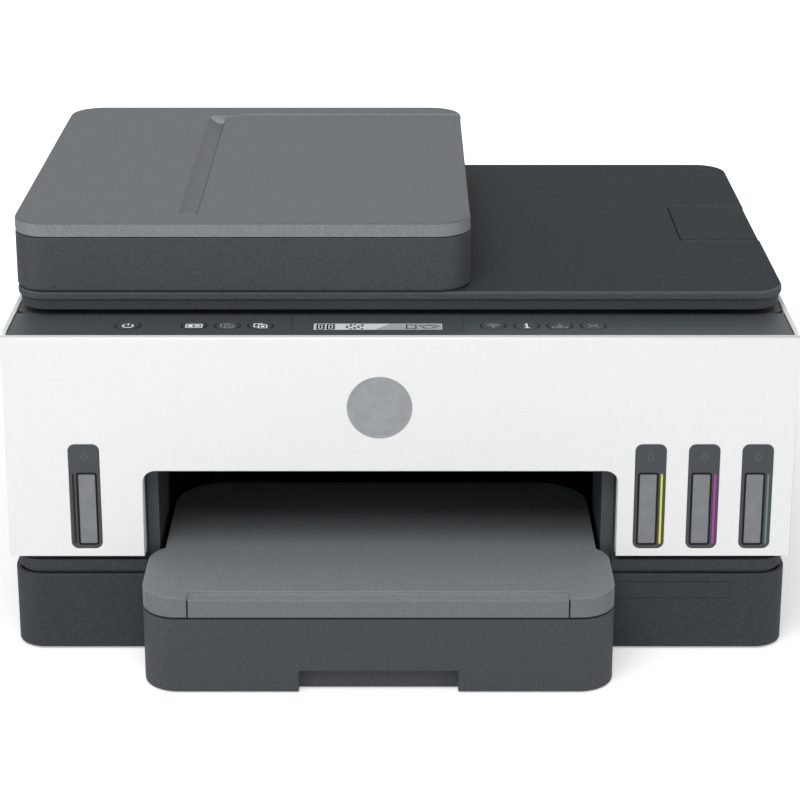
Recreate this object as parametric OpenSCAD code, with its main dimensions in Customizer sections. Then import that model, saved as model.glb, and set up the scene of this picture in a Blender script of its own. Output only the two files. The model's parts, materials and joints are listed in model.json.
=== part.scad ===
/* [Body] */
// Width of the left bank, from the side cover to the paper bay
left_bank_w = 75.1; // [72:0.5:84]
// Room beside the widest sheet in the paper bay, on each side
bay_side = 22.85; // [20:0.1:27]
// Width of the right bank, from the paper bay to the side cover
right_bank_w = 96.86; // [94:0.5:108]
// Depth behind the cassette in which the sheet turns upward
turn_d = 48.5; // [46:0.5:60]
// Height of the cover plane that the scan lid lies over
deck_z = 186.6; // [184:0.2:192]
// Thickness of the moulded covers
wall = 2.5; // [2.2:0.1:2.8]
// Thickness of the white side covers
side_wall = 2.7; // [2.3:0.1:3]
// Running gap between parts that move past each other
gap = 0.3; // [0.25:0.01:0.35]
// Radial clearance of pins and shafts in their bores
pin_play = 0.05; // [0.03:0.01:0.08]

// Corner radius of the side covers at the back
shell_r = 12; // [8:0.5:16]
// How far the side covers reach round the back
shell_return = 20; // [14:0.5:24]

/* [Base] */
// Set-back of the tub from the side covers
tub_inset = 0.33; // [0.2:0.01:1.5]
// Height of the tub's top edge above the table
base_top_z = 45.9; // [45:0.1:46.5]
// Height of the rubber feet
foot_h = 1; // [0.8:0.1:2]
// Radius of a rubber foot
foot_r = 9; // [6:0.5:11]
// Corner radius of the tub and the neck
base_r = 17; // [12:0.5:20]
// Set-back of the dark neck band from the tub
neck_inset = 1.75; // [1.2:0.05:2.2]
// Depth of the shadow groove round the neck's foot
foot_groove = 1.4; // [0.6:0.1:2]
// Height of the neck band's front edge
neck_top_z = 54; // [52.5:0.1:54.2]
// Height of the floor that the tanks stand on
frame_floor_z = 56.5; // [56.3:0.1:57]

/* [Front door] */
// Height of the door's bottom edge
door_bottom_z = 56.9; // [56.7:0.1:57.5]
// Thickness of the door from its face to its inner flange
door_t = 8.5; // [8:0.1:8.8]
// Thickness of the door's face
door_skin = 2.6; // [2.3:0.1:2.7]
// Height of the bay's top edge
bay_top_z = 108; // [104:0.1:109]
// Corner radius of the bay
bay_r = 7; // [4:0.5:9]
// Depth of the grey bay cheeks
cheek_d = 80; // [60:1:86]
// Distance of the hinge pin behind the door's face
door_pin_y = 5; // [4.9:0.05:5.3]
// Radius of the door's hinge pins
door_pin_r = 1.3; // [1.1:0.1:1.4]

/* [Tank windows] */
// Width of a window frame
win_w = 17.3; // [15:0.1:18]
// Height of a window frame
win_h = 62.4; // [56:0.2:64]
// Height of a window's bottom edge
win_z = 61.5; // [60.8:0.1:64]
// Corner radius of a window
win_r = 4; // [2:0.5:5]
// Width of the clear level slot
slot_w = 10; // [8:0.1:10.6]
// Height of the clear level slot
slot_h = 41.9; // [36:0.2:44]
// Width of the dark groove round the clear slot
slot_groove = 0.6; // [0.4:0.05:0.8]
// Shift of the clear slot toward the machine's middle
slot_shift = 1.1; // [0:0.1:1.4]
// Distance of the black tank's window from the left side
win_black_in = 43.03; // [36:0.1:48]
// Distance of the first colour window from the bay
win_first_in = 17.8; // [17.4:0.1:19]
// Distance of the last colour window from the right side
win_last_in = 20.13; // [19.8:0.01:21]

/* [Ink tanks] */
// Depth of a tank
tank_d = 76; // [60:1:78]
// Height of the tanks' top
tank_top_z = 128; // [125:0.5:128.5]
// Distance of the black tank from the side and from the bay
tank_in = 7; // [6.6:0.1:12]
// Gap between two colour tanks
tank_gap = 2.45; // [1.5:0.05:5]
// Radius of a filling port
port_r = 5; // [4.5:0.1:5.5]
// Distance from a filling port to its cap's hinge
cap_reach = 20; // [18:0.5:21]
// Width of a tank cap
cap_w = 15; // [13:0.5:17]

/* [Paper cassette] */
// How far the cassette stays inside the bay's edges on each side
cas_side = 2.7; // [2.5:0.1:6]
// How far the paper path lies left of the bay's middle
path_shift = 0.8; // [0:0.1:1.8]
// How far the cassette stands out of the front
cas_reach = 53; // [50:0.5:56]
// Length of the cassette beyond its sheets
cas_play = 6; // [4:0.5:8]
// Height of the cassette's dark front
cas_top_z = 44.3; // [43.5:0.1:44.9]
// Corner radius of the cassette front
cas_r = 20; // [12:0.5:24]
// Gap under the cassette front
cas_lift = 0.5; // [0.4:0.1:1.5]
// Width of the finger notch
notch_w = 86.6; // [70:0.5:100]
// Top of the finger notch above the table
notch_h = 13; // [9:0.5:16]
// Depth of the finger notch
notch_d = 5.6; // [5:0.1:7]
// Width between the paper guides for the widest sheet
sheet_w = 217; // [212:0.5:218]
// Length of the sheet that the length guide is set to
sheet_len = 297; // [280:0.5:298]

/* [Output tray] */
// Height of the output tray's top face
tray_top_z = 56.4; // [55.4:0.1:56.6]
// Reach of the tray into the bay
tray_in = 108; // [96:1:109]
// How far its wide front part reaches into the bay
tray_wing = 17; // [2:1:24]
// Corner radius of the tray's inner end
tray_r = 30; // [15:1:40]
// Gap beside the tray inside the bay
tray_side = 7; // [5:0.5:9]
// Width of the extender
ext_w = 205.5; // [190:1:216]
// Length of the extender's plate
ext_len = 104; // [80:1:110]

/* [Control deck] */
// Depth of the control deck
deck_d = 40; // [38:0.5:42]
// Height of the deck box
deck_h = 18.6; // [16:0.2:20]
// Radius of a button
btn_r = 6.2; // [5.5:0.1:6.3]
// Distance of the buttons behind the front face
btn_y = 18.2; // [18:0.1:19.4]
// Travel of a button
btn_travel = 0.8; // [0.5:0.1:1]
// Spacing of neighbouring buttons
btn_pitch = 18.3; // [17.5:0.1:19]
// Position of the power button
power_x = -149.4; // [-155:0.2:-140]
// Position of the first button on the left
left_btn_x = -113.1; // [-118:0.2:-111]
// Position of the first button on the right
right_btn_x = 51.2; // [49:0.2:55]
// Left edge of the display insert
disp_x0 = -59.6; // [-62:0.1:-58]
// Width of the display insert
disp_w = 94; // [90:0.2:96]

/* [Scanner] */
// Height of the scanner bed's underside
bed_z = 160; // [159.6:0.1:161]
// How much the document glass is larger than the sheet each way
glass_over = 9; // [4:0.5:12]
// Distance of the feeder's scan strip from the left side
strip_in = 22.33; // [20:0.1:26]
// Thickness of the glass
glass_t = 2.9; // [2.6:0.1:3.2]
// Width of the feeder's scan strip
strip_w = 20; // [14:0.5:22]
// Width of the scan bar
bar_w = 22; // [16:0.5:26]

/* [Lid] */
// Set-back of the lid from the side covers
lid_side = 3.53; // [3.2:0.01:6]
// Front edge of the lid behind the front panel
lid_y0 = 33.2; // [30.6:0.1:35]
// How far the lid reaches behind the feeder
lid_back = 3.5; // [2:0.1:6]
// How far the lid stays short of the back
back_gap = 1.3; // [0.9:0.1:3]
// Corner radius of the lid
lid_r = 18.5; // [14:0.5:22]
// Gap between the deck and the lid's lower edge
lid_gap = 3.8; // [3.6:0.1:4.2]
// Height of the lid's lower band
lid_low_h = 6.3; // [6:0.1:7]
// Height of the lid's upper band
lid_up_h = 4.7; // [4.6:0.1:5.4]
// Set-back of the lid's lower band
lid_inset = 1.5; // [1:0.1:2]
// Radius of the lid's hinge pins
lid_pin_r = 2; // [1.6:0.1:2.2]
// Distance of the lid's hinges from the middle
lid_hinge_x = 150; // [120:1:165]
// Width of the paper stop flap
flap_w = 47.5; // [42:0.1:54]
// Length of the paper stop flap
flap_d = 71.7; // [60:0.5:80]
// Front edge of the paper stop flap behind the front panel
flap_y0 = 132.3; // [120:0.5:145]

/* [Document feeder] */
// How far the feeder reaches over the lid's left edge
adf_over = 0.2; // [0:0.1:0.5]
// Width of the feeder
adf_w = 253.4; // [250:0.2:258]
// Front edge of the feeder behind the front panel
adf_y0 = 31.9; // [31.3:0.1:34]
// Width of the feeder's rim behind the document tray
adf_back = 23.3; // [20:0.1:28]
// Corner radius of the feeder
adf_r = 20; // [14:0.5:24]
// Height of the feeder's dark body
adf_h = 31.3; // [29:0.1:34]
// Height and depth of the shadow gap under the feeder
plinth_h = 1.1; // [0.8:0.1:1.6]
// Height of the feeder's grey cover
cover_h = 8.5; // [8.2:0.1:9.2]
// Distance of the document tray from the feeder's left edge
doc_in = 101; // [96:0.2:106]
// Front edge of the document tray behind the front panel
doc_y0 = 49.5; // [48:0.1:52]
// Room beside the widest sheet in the document tray, on each side
doc_side = 6.95; // [6.5:0.05:9]
// Thickness of the document tray
doc_t = 3; // [2.7:0.1:3.2]
// Radius of the document tray's back corner
doc_r = 10; // [6:0.5:14]
// Width of the finger scoop beside the document tray
scoop_w = 10.3; // [8:0.1:13]
// Depth of the finger scoop
scoop_h = 5; // [4.4:0.1:5.4]

/* [Print engine] */
// Height of the paper where it is printed
paper_z = 88; // [87:0.1:88.5]
// Distance of the feed roller behind the front panel
feed_y = 172; // [170:0.5:173]
// Radius of the feed and eject rollers
roller_r = 7; // [6:0.1:7.2]
// Radius of the roller journals
journal_r = 3; // [2.5:0.1:3.5]
// Size of a gear tooth (gear module)
gear_m = 1; // [0.95:0.01:1.02]
// Width of the gears
gear_w = 8; // [5:0.5:9]
// Distance of the carriage rod behind the front panel
rod_y = 186; // [184:0.5:187]
// Height of the carriage rod
rod_z = 120; // [116:0.5:124]
// Radius of the carriage rod
rod_r = 4; // [3:0.1:4.5]
// Width of the print carriage
carr_w = 62; // [54:1:64]
// Radius of the pick roller
pick_r = 10; // [8:0.2:10.6]
// Length of the pick arm
pick_reach = 28; // [22:0.5:29]

/* [Hidden] */
$fn = 48;

// Colours
dark = "#474b4d";
darker = "#33373a";
white = "#e8ebeb";
grey = "#707577";
steel = "#b4b8bb";
rubber = "#26282a";

// Main planes, all worked out from the driving sizes
bay_w = sheet_w + 2 * bay_side;
body_w = left_bank_w + bay_w + right_bank_w;
cas_len = sheet_len + cas_play;
cas_wall = 2.2;
cas_front_t = cas_wall + notch_d;
doc_y1 = doc_y0 + sheet_w + 2 * doc_side;
adf_y1 = doc_y1 + adf_back;
lid_y1 = adf_y1 + lid_back;
body_d = max(cas_front_t + cas_len + cas_wall + turn_d - cas_reach, lid_y1 + back_gap);
total_d = body_d + cas_reach;
panel_y = -total_d / 2 + cas_reach;
back_y = panel_y + body_d;
half_w = body_w / 2;
half_base = half_w - tub_inset;
bay_left = -half_w + left_bank_w;
bay_right = half_w - right_bank_w;
path_x = (bay_left + bay_right) / 2 - path_shift;
inner_x = half_w - side_wall;
floor_z = foot_h + wall;
eps = 1;

// Distance behind the front panel, as a place along Y
function py(v) = panel_y + v;

// Cassette planes
cas_w = bay_w - 2 * cas_side;
cas_x = [path_x - cas_w / 2, path_x + cas_w / 2];
cas_y0 = panel_y - cas_reach;
cas_y1 = cas_y0 + cas_front_t + cas_len + cas_wall;
cas_floor_z = floor_z + gap + cas_wall;
cas_box_top = cas_top_z - 4.3;
chan_x = [cas_x[0] - 1.3, cas_x[1] + 1.3];

// Output tray planes
tray_x = [bay_left + tray_side + 3, bay_right - tray_side - 3];
ext_x = [path_x - ext_w / 2, path_x + ext_w / 2];
ext_t = 5;
ext_z = cas_top_z + gap + wall + gap;
groove_d = 6;
groove_h = 1.6;
ext_front_t = 2.4;

// Frame planes
neck_half = half_base - neck_inset;
neck_wall = wall + foot_groove;
hole_x = [chan_x[0] - 0.2, chan_x[1] + 0.2];
hole_y1 = cas_y1 + 2;
frame_y0 = py(12);
cheek_x = [bay_left - wall, bay_right + wall];
low_frame_z = paper_z - 0.5;
low_frame_y1 = py(feed_y + 20);
cross_y = py(rod_y + 14);
end_x = half_w - 11.3;
roof_y1 = py(108);

// Door planes
pin_y = py(door_pin_y);
pin_z = door_bottom_z + 4;
door_eye_r = 2.8;
lug_w = 3;
win_pitch = (right_bank_w - win_first_in - win_last_in) / 2;
win_black_x = -half_w + win_black_in;
color_xs = [for (i = [0:2]) bay_right + win_first_in + i * win_pitch];
win_xs = concat([win_black_x], color_xs);
lug_left_out = -half_w + 6.3;
lug_left_in = bay_left - 11;
lug_right_in = bay_right + wall + 3.3;
lug_right_out = half_w - 6.3;
lug_xs = [lug_left_out, lug_left_in, lug_right_in, lug_right_out];

// Tank planes
black_x = [-half_w + tank_in, bay_left - tank_in];
color_tank_w = win_pitch - tank_gap;
slot_lift = 2.9;
tank_y = [py(14), py(14) + tank_d];
port_y = tank_y[0] + 10;
cap_pin_y = port_y + cap_reach;
cap_pin_z = tank_top_z + 2.5;
cap_t = 2.4;

// Deck planes
deck_y0 = py(door_skin + 0.2);
deck_box_y0 = py(door_t + 0.6);
deck_wall = 1.6;
deck_y1 = py(deck_d);
deck_top_t = wall;
deck_under_z = deck_z - deck_top_t;
deck_box_z = deck_z - deck_h;
board_z = deck_z - 9.2;
board_t = 1.6;
left_btns = [power_x, left_btn_x, left_btn_x + btn_pitch, left_btn_x + 2 * btn_pitch];
right_btns = [for (i = [0:3]) right_btn_x + i * btn_pitch];
btn_xs = concat(left_btns, right_btns);
btn_place_y = py(btn_y);

// Scanner planes
glass_w = sheet_len + glass_over;
glass_d = sheet_w + glass_over;
bed_y = [deck_y1 + gap, back_y - wall - gap];
bed_x = inner_x - gap;
bed_top_t = 5;
glass_y = [(bed_y[0] + bed_y[1] - glass_d) / 2 - 3, (bed_y[0] + bed_y[1] + glass_d) / 2 - 3];
strip_x = [-half_w + strip_in, -half_w + strip_in + strip_w];
glass_x = [strip_x[1] + 6, strip_x[1] + 6 + glass_w];
seat = 3;
bar_x0 = strip_x[0] + (strip_w - bar_w) / 2;
rail_y = (glass_y[0] + glass_y[1]) / 2;
rail_w = 8;
rail_h = 3.5;

// Lid planes
lid_half_w = half_w - lid_side;
flap_x0 = lid_half_w - flap_w;
lid_z0 = deck_z + lid_gap;
lid_z1 = lid_z0 + lid_low_h;
lid_z2 = lid_z1 + lid_up_h;
lid_pin_y = py(lid_y1 - 4.2);
lid_pin_z = deck_z + 3.4;
ear_t = 4;
ear_half = 8;
eye_r = 3.3;
pad_margin = 2;
flap_t = 1.9;
flap_pin_x = lid_half_w - 2.3;
flap_pin_z = lid_z2 - flap_t;
flap_pin_r = 1.1;
flap_y = [py(flap_y0), py(flap_y0) + flap_d];

// Document feeder planes
adf_x0 = -lid_half_w - adf_over;
adf_x1 = adf_x0 + adf_w;
doc_x0 = adf_x0 + doc_in;
adf_y = [py(adf_y0), py(adf_y1)];
adf_z1 = lid_z2 + adf_h;
cover_z0 = adf_z1 + 0.5;
cover_z1 = adf_z1 + cover_h;
doc_y = [py(doc_y0), py(doc_y1)];
doc_pin_x = adf_x1 - doc_t - 0.2;
doc_pin_z = cover_z1 - doc_t;
doc_pin_r = 1.5;
cover_pin_x = adf_x0 + 2.5;
cover_pin_z = cover_z0 + 3.8;
cover_pin_r = 1.1;
cover_eye_r = 2;
cover_ears = [doc_y[0] + 28, doc_y[1] - 28];
ear_w = 3.4;
pocket_y = [doc_y[0] + 2.5, doc_y[1] - 2.4];
pocket_z = lid_z2 + 15.6;
exit_z = [lid_z2 + 2.2, lid_z2 + 11.1];
feed_room_x = [adf_x0 + 14, doc_x0 - 1];
adf_roller_x = adf_x0 + 64;
adf_roller_z = lid_z2 + 20.6;
adf_roller_r = 9;
doc_guide_x = [doc_x0 + 50, doc_x0 + 130];
doc_mid_y = (pocket_y[0] + pocket_y[1]) / 2;
ledge_w = 12;
ledge_t = 1.4;

// Back and electrics planes
rdoor_x = [chan_x[0] + 14, chan_x[1] - 14];
rdoor_z = [frame_floor_z + 7, frame_floor_z + 62];
rdoor_r = 3.2;
rdoor_pin_y = back_y - rdoor_r;
rdoor_pin_z = rdoor_z[0] + rdoor_r;
usb_x = [half_w - 47.33, half_w - 33.33];
usb_z = [96, 108];
vent_n = 9;
vent_w = 2.5;
vent_x = -half_w + 41.33;
vent_z = [118, 150];
inlet_x = [-half_base + 25, -half_base + 51];
inlet_z = [11, 31];
supply_x = [-half_base + 16, chan_x[0] - wall - 6];
supply_d = 108;
board_x = [chan_x[1] + 12, end_x - 6];
rim_h = 6;
guide_y = [py(40), py(200)];
lcd_x = [disp_x0 + 12, disp_x0 + disp_w - 11];
lcd_y = [btn_place_y - 6.6, btn_place_y + 4.6];
pad_x = [glass_x[0] + pad_margin - 8, glass_x[1] - pad_margin];
pad_y = [glass_y[0] + pad_margin, glass_y[1] - pad_margin];

// Print engine planes
gear_x = [cheek_x[0] - 24.3, cheek_x[0] - 24.3 + gear_w];
feed_teeth = 36;
idle_teeth = 24;
eject_teeth = 24;
pinion_teeth = 12;
roller_z = paper_z - roller_r;
feed_py = py(feed_y);
idle_py = feed_py - gear_m * (feed_teeth + idle_teeth) / 2;
eject_py = idle_py - gear_m * (idle_teeth + eject_teeth) / 2;
pinion_angle = 60;
pinion_dist = gear_m * (feed_teeth + pinion_teeth) / 2;
pinion_py = feed_py + pinion_dist * cos(pinion_angle);
pinion_z = roller_z + pinion_dist * sin(pinion_angle);
rod_py = py(rod_y);
belt_z = [rod_z + 16, rod_z + 26];
belt_y = [rod_py + 7, rod_py + 12];
belt_t = 1.2;
pulley_r = (belt_z[1] - belt_z[0] - belt_t) / 2;
pulley_x = end_x - 16;
belt_mid_z = (belt_z[0] + belt_z[1]) / 2;
belt_run = [belt_mid_z - pulley_r - belt_t, belt_mid_z - pulley_r];
carr_x = (cheek_x[1] + end_x) / 2;
carr_y = [py(rod_y) - 74, rod_py - 7];
carr_z = [paper_z + 8, rod_z + 30];
station_x = [carr_x - carr_w / 2 - 4, carr_x + carr_w / 2 + 4];
arm_py = cross_y + wall + 6;
pick_z = cas_box_top + pick_r + 1.3;
arm_z = pick_z + 8.7;
pick_py = arm_py + pick_reach;

// ---- helpers ----

// Rectangle with round corners, exact
module plan(x, y, r) {
    translate([x[0] + r, y[0]]) square([x[1] - x[0] - 2 * r, y[1] - y[0]]);
    translate([x[0], y[0] + r]) square([x[1] - x[0], y[1] - y[0] - 2 * r]);
    for (px = [x[0] + r, x[1] - r], qy = [y[0] + r, y[1] - r])
        translate([px, qy]) circle(r);
}

// Block between two corners
module span(x, y, z) {
    translate([x[0], y[0], z[0]]) cube([x[1] - x[0], y[1] - y[0], z[1] - z[0]]);
}

// Plate with round corners in plan
module slab(x, y, z, r) {
    translate([0, 0, z[0]]) linear_extrude(z[1] - z[0]) plan(x, y, r);
}

// Plate with round corners and a softened top edge
module soft_slab(x, y, z, r, b) {
    hull() {
        slab(x, y, [z[0], z[1] - b], r, $fn = 32);
        slab([x[0] + b, x[1] - b], [y[0] + b, y[1] - b], z, r - b, $fn = 32);
    }
}

// Outline in the YZ plane, drawn out along X
module along_x(x) {
    translate([x[0], 0, 0]) rotate([90, 0, 90]) linear_extrude(x[1] - x[0]) children();
}

// Outline in the XZ plane, drawn out along Y
module along_y(y) {
    translate([0, y[1], 0]) rotate([90, 0, 0]) linear_extrude(y[1] - y[0]) children();
}

// Round bars along the three axes
module bar_x(x, y, z, r) { along_x(x) translate([y, z]) circle(r); }
module bar_y(y, x, z, r) { along_y(y) translate([x, z]) circle(r); }
module bar_z(z, x, y, r) { translate([x, y, z[0]]) cylinder(h = z[1] - z[0], r = r); }

// Spur gear outline with straight-flanked teeth, one tooth on the first axis when turn is 0
module gear_outline(teeth, turn) {
    pitch_r = gear_m * teeth / 2;
    tip = pitch_r + 0.8 * gear_m;
    root = pitch_r - 1.15 * gear_m;
    step = 360 / teeth;
    polygon([for (i = [0:teeth - 1], c = [[-0.29, root], [-0.11, tip], [0.11, tip], [0.29, root]])
        c[1] * [cos(turn + (i + c[0]) * step), sin(turn + (i + c[0]) * step)]]);
}

// ---- base ----

module base_tub() {
    inner_r = base_r - wall;
    color(dark) difference() {
        slab([-half_base, half_base], [panel_y, back_y], [foot_h, base_top_z], base_r);
        // equipment wells on both sides of the cassette channel
        intersection() {
            slab([-half_base + wall, half_base - wall], [panel_y + wall, back_y - wall],
                [floor_z, base_top_z + eps], inner_r);
            union() {
                span([-half_base, chan_x[0] - wall], [panel_y, back_y], [0, base_top_z + eps]);
                span([chan_x[1] + wall, half_base], [panel_y, back_y], [0, base_top_z + eps]);
            }
        }
        // cassette channel, open to the front
        span(chan_x, [panel_y - eps, back_y - wall], [floor_z, base_top_z + eps]);
        // inlet hole in the back wall
        span(inlet_x, [back_y - wall - eps, back_y + eps], inlet_z);
    }
}

module feet() {
    color(rubber) for (x = [-half_base + 30, half_base - 30], y = [panel_y + 26, back_y - 26])
        bar_z([0, foot_h], x, y, foot_r);
}

module mid_frame() {
    color(darker) difference() {
        union() {
            // neck band, lower at the front where the door swings
            slab([-neck_half, neck_half], [panel_y + neck_inset, back_y - neck_inset],
                [base_top_z + groove_h, neck_top_z], base_r - neck_inset);
            slab([-neck_half + foot_groove, neck_half - foot_groove],
                [panel_y + neck_inset + foot_groove, back_y - neck_inset - foot_groove],
                [base_top_z, neck_top_z - eps], base_r - neck_inset - foot_groove);
            slab([-inner_x + gap, inner_x - gap], [frame_y0, back_y - wall - gap],
                [neck_top_z - eps, frame_floor_z], 3);
            // rims that seat the side covers
            for (s = [-1, 1]) span([s * (inner_x - gap - wall / 2) - wall / 2,
                s * (inner_x - gap - wall / 2) + wall / 2], [frame_y0, back_y - 20],
                [frame_floor_z - eps, frame_floor_z + rim_h]);
            // bay cheeks and roof
            for (x = [cheek_x[0], bay_right]) span([x, x + wall], [frame_y0, frame_y0 + cheek_d - 12],
                [frame_floor_z - eps, bay_top_z + wall]);
            span(cheek_x, [frame_y0, roof_y1], [bay_top_z, bay_top_z + wall]);
            // low side frames that carry the rollers
            for (x = [cheek_x[0], bay_right]) span([x, x + wall],
                [frame_y0 + cheek_d - 12 - eps, low_frame_y1], [frame_floor_z - eps, low_frame_z]);
            // end plates that carry the rod, and the cross wall between them
            for (s = [-1, 1]) span([s * end_x - wall / 2, s * end_x + wall / 2],
                [rod_py - 36, cross_y + wall], [frame_floor_z - eps, bed_z]);
            span([-end_x, end_x], [cross_y, cross_y + wall], [frame_floor_z - eps, bed_z]);
            // stub for the idler gear
            bar_x([gear_x[0], cheek_x[0] + eps], idle_py, roller_z, 2.5);
            bar_x([gear_x[1] + gap, cheek_x[0] + eps], idle_py, roller_z, 5);
            // door hinge lugs
            for (x = lug_xs) door_lug(x);
            // ears of the pick arm
            for (s = [-1, 1]) pick_ear(path_x + s * 14.5);
        }
        // hollow under the floor
        difference() {
            slab([-neck_half + neck_wall, neck_half - neck_wall],
                [panel_y + neck_inset + neck_wall, back_y - neck_inset - neck_wall],
                [base_top_z - eps, neck_top_z - wall], base_r - neck_inset - neck_wall);
            for (x = [hole_x[0] - wall, hole_x[1]]) span([x, x + wall],
                [panel_y, back_y], [base_top_z - 2 * eps, neck_top_z]);
        }
        // way for the cassette and the output tray
        span(hole_x, [panel_y - eps, hole_y1 + 40], [base_top_z - eps, frame_floor_z + eps]);
        // paper way through the cross wall
        span([hole_x[0], hole_x[1]], [cross_y - eps, cross_y + wall + eps],
            [frame_floor_z - 2 * eps, paper_z + 14]);
        // bearings of the feed and eject rollers, rod seats and motor shaft
        bar_x([cheek_x[0] - eps, cheek_x[1] + eps], feed_py, roller_z, journal_r + pin_play);
        bar_x([cheek_x[0] - eps, cheek_x[1] + eps], eject_py, roller_z, journal_r + pin_play);
        bar_x([-half_w, half_w], rod_py, rod_z, rod_r + pin_play);
        bar_y([cross_y - eps, cross_y + wall + eps], pulley_x, belt_mid_z, 2);
        // bores of the door hinge and of the pick arm
        bar_x([-half_w, half_w], pin_y, pin_z, door_pin_r + pin_play);
        bar_x([path_x - 20, path_x + 20], arm_py, arm_z, 2 + pin_play);
    }
}

// Ear that holds a door pin, reaching forward from the frame
module door_lug(x) {
    along_x([x - lug_w / 2, x + lug_w / 2]) {
        translate([pin_y, pin_z]) circle(door_eye_r);
        translate([pin_y, pin_z - 2]) square([frame_y0 + eps - pin_y, 4]);
        translate([frame_y0, frame_floor_z - eps])
            square([tank_y[0] - gap - frame_y0, pin_z + 2 - frame_floor_z + eps]);
    }
}

// Ear behind the cross wall that holds the pick arm
module pick_ear(x) {
    along_x([x - 1.5, x + 1.5]) {
        translate([arm_py, arm_z]) circle(4.5);
        translate([cross_y + wall - eps, arm_z + 4]) square([8, paper_z + 20 - arm_z]);
        translate([arm_py - 4.5, arm_z]) square([9, 10]);
    }
}

// ---- covers ----

module side_shell() {
    difference() {
        slab([-half_w, half_w], [py(door_t) + gap, back_y], [door_bottom_z, deck_z], shell_r);
        slab([-inner_x, inner_x], [py(door_t) - 30, back_y - side_wall],
            [door_bottom_z - eps, deck_z + eps], shell_r - side_wall);
        span([-half_w + shell_return, half_w - shell_return], [panel_y, back_y + eps], [0, deck_z + eps]);
    }
    // square front edge beside the door
    for (s = [-1, 1]) span([s * (half_w - side_wall / 2) - side_wall / 2,
        s * (half_w - side_wall / 2) + side_wall / 2], [py(door_t) + gap, py(door_t) + 16],
        [door_bottom_z, deck_z]);
}

module left_side_panel() {
    color(white) intersection() {
        side_shell();
        span([-half_w - eps, 0], [panel_y, back_y + eps], [0, deck_z + eps]);
    }
}

module right_side_panel() {
    color(white) intersection() {
        side_shell();
        span([0, half_w + eps], [panel_y, back_y + eps], [0, deck_z + eps]);
    }
}

// Back cover with the opening for the rear access door
module rear_cover() {
    half = half_w - shell_return - gap;
    color(dark) difference() {
        union() {
            span([-half, half], [back_y - wall, back_y], [door_bottom_z, deck_z - gap]);
            // ears of the access door
            for (x = [rdoor_x[0] - gap - 6, rdoor_x[1] + gap]) along_x([x, x + 6])
                translate([back_y - wall - 5, rdoor_pin_z - 4]) square([6, 8]);
        }
        span([rdoor_x[0] - gap, rdoor_x[1] + gap], [back_y - wall - eps, back_y + eps],
            [rdoor_z[0] - gap, rdoor_z[1] + gap]);
        span(usb_x, [back_y - wall - eps, back_y + eps], usb_z);
        bar_x([rdoor_x[0] - 5, rdoor_x[1] + 5], rdoor_pin_y, rdoor_pin_z, 1.5 + pin_play);
        for (i = [0:vent_n - 1]) span([vent_x + i * 2 * vent_w, vent_x + (2 * i + 1) * vent_w],
            [back_y - wall - eps, back_y + eps], vent_z);
    }
}

module rear_door() {
    color(dark) {
        difference() {
            union() {
                bar_x(rdoor_x, rdoor_pin_y, rdoor_pin_z, rdoor_r);
                span(rdoor_x, [back_y - wall, back_y], [rdoor_pin_z, rdoor_z[1]]);
            }
            // grip hollow at the top
            span([path_x - 22, path_x + 22], [back_y - wall + 1.2, back_y + eps],
                [rdoor_z[1] - 9, rdoor_z[1] - 1.5]);
        }
        bar_x([rdoor_x[0] - 4.5, rdoor_x[1] + 4.5], rdoor_pin_y, rdoor_pin_z, 1.5);
        // ribs that turn the sheet upward
        for (i = [-4:4]) along_x([path_x + i * 24 - 1, path_x + i * 24 + 1]) difference() {
            translate([back_y - 20, rdoor_pin_z + 3]) square([18, rdoor_z[1] - rdoor_pin_z - 8]);
            translate([back_y - 34, rdoor_pin_z + 22]) circle(26);
        }
    }
}

// ---- control deck ----

module control_deck() {
    half = inner_x - 0.2;
    color(dark) difference() {
        union() {
            span([-half, half], [deck_y0, deck_y1], [deck_under_z, deck_z]);
            span([-half, half], [deck_box_y0, deck_y1], [deck_box_z, deck_z]);
        }
        span([-half + wall, half - wall], [deck_box_y0 + deck_wall, deck_y1 - deck_wall],
            [deck_box_z - eps, deck_under_z]);
        span([disp_x0, disp_x0 + disp_w], [deck_box_y0 + deck_wall, deck_y1 - 4],
            [deck_box_z, deck_z + eps]);
        for (x = btn_xs) bar_z([deck_under_z - eps, deck_z + eps], x, btn_place_y, btn_r + gap);
    }
}

module display_module() {
    color(darker) {
        // circuit board across the deck with a switch under each button
        span([power_x - 12, right_btns[3] + 12], [deck_box_y0 + deck_wall + gap, deck_y1 - deck_wall - gap],
            [board_z - board_t, board_z]);
        for (x = btn_xs) bar_z([board_z - eps, board_z + 0.7], x, btn_place_y, 2.4);
        // display insert
        difference() {
            span([disp_x0 + 0.15, disp_x0 + disp_w - 0.15], [deck_box_y0 + deck_wall + 0.15, deck_y1 - 4.15],
                [board_z - eps, deck_z]);
            span(lcd_x, lcd_y, [deck_z - 0.4, deck_z + eps]);
        }
    }
}

// Round button cap with a retaining flange and a stem down to its switch
module button(x) {
    color(darker) {
        bar_z([deck_under_z - 1.5, deck_z], x, btn_place_y, btn_r);
        bar_z([deck_under_z - 1.5, deck_under_z - gap], x, btn_place_y, btn_r + 0.8);
        bar_z([board_z + 0.7 + btn_travel + 0.1, deck_under_z - 1.4], x, btn_place_y, 1.8);
    }
}

// ---- scanner ----

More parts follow.
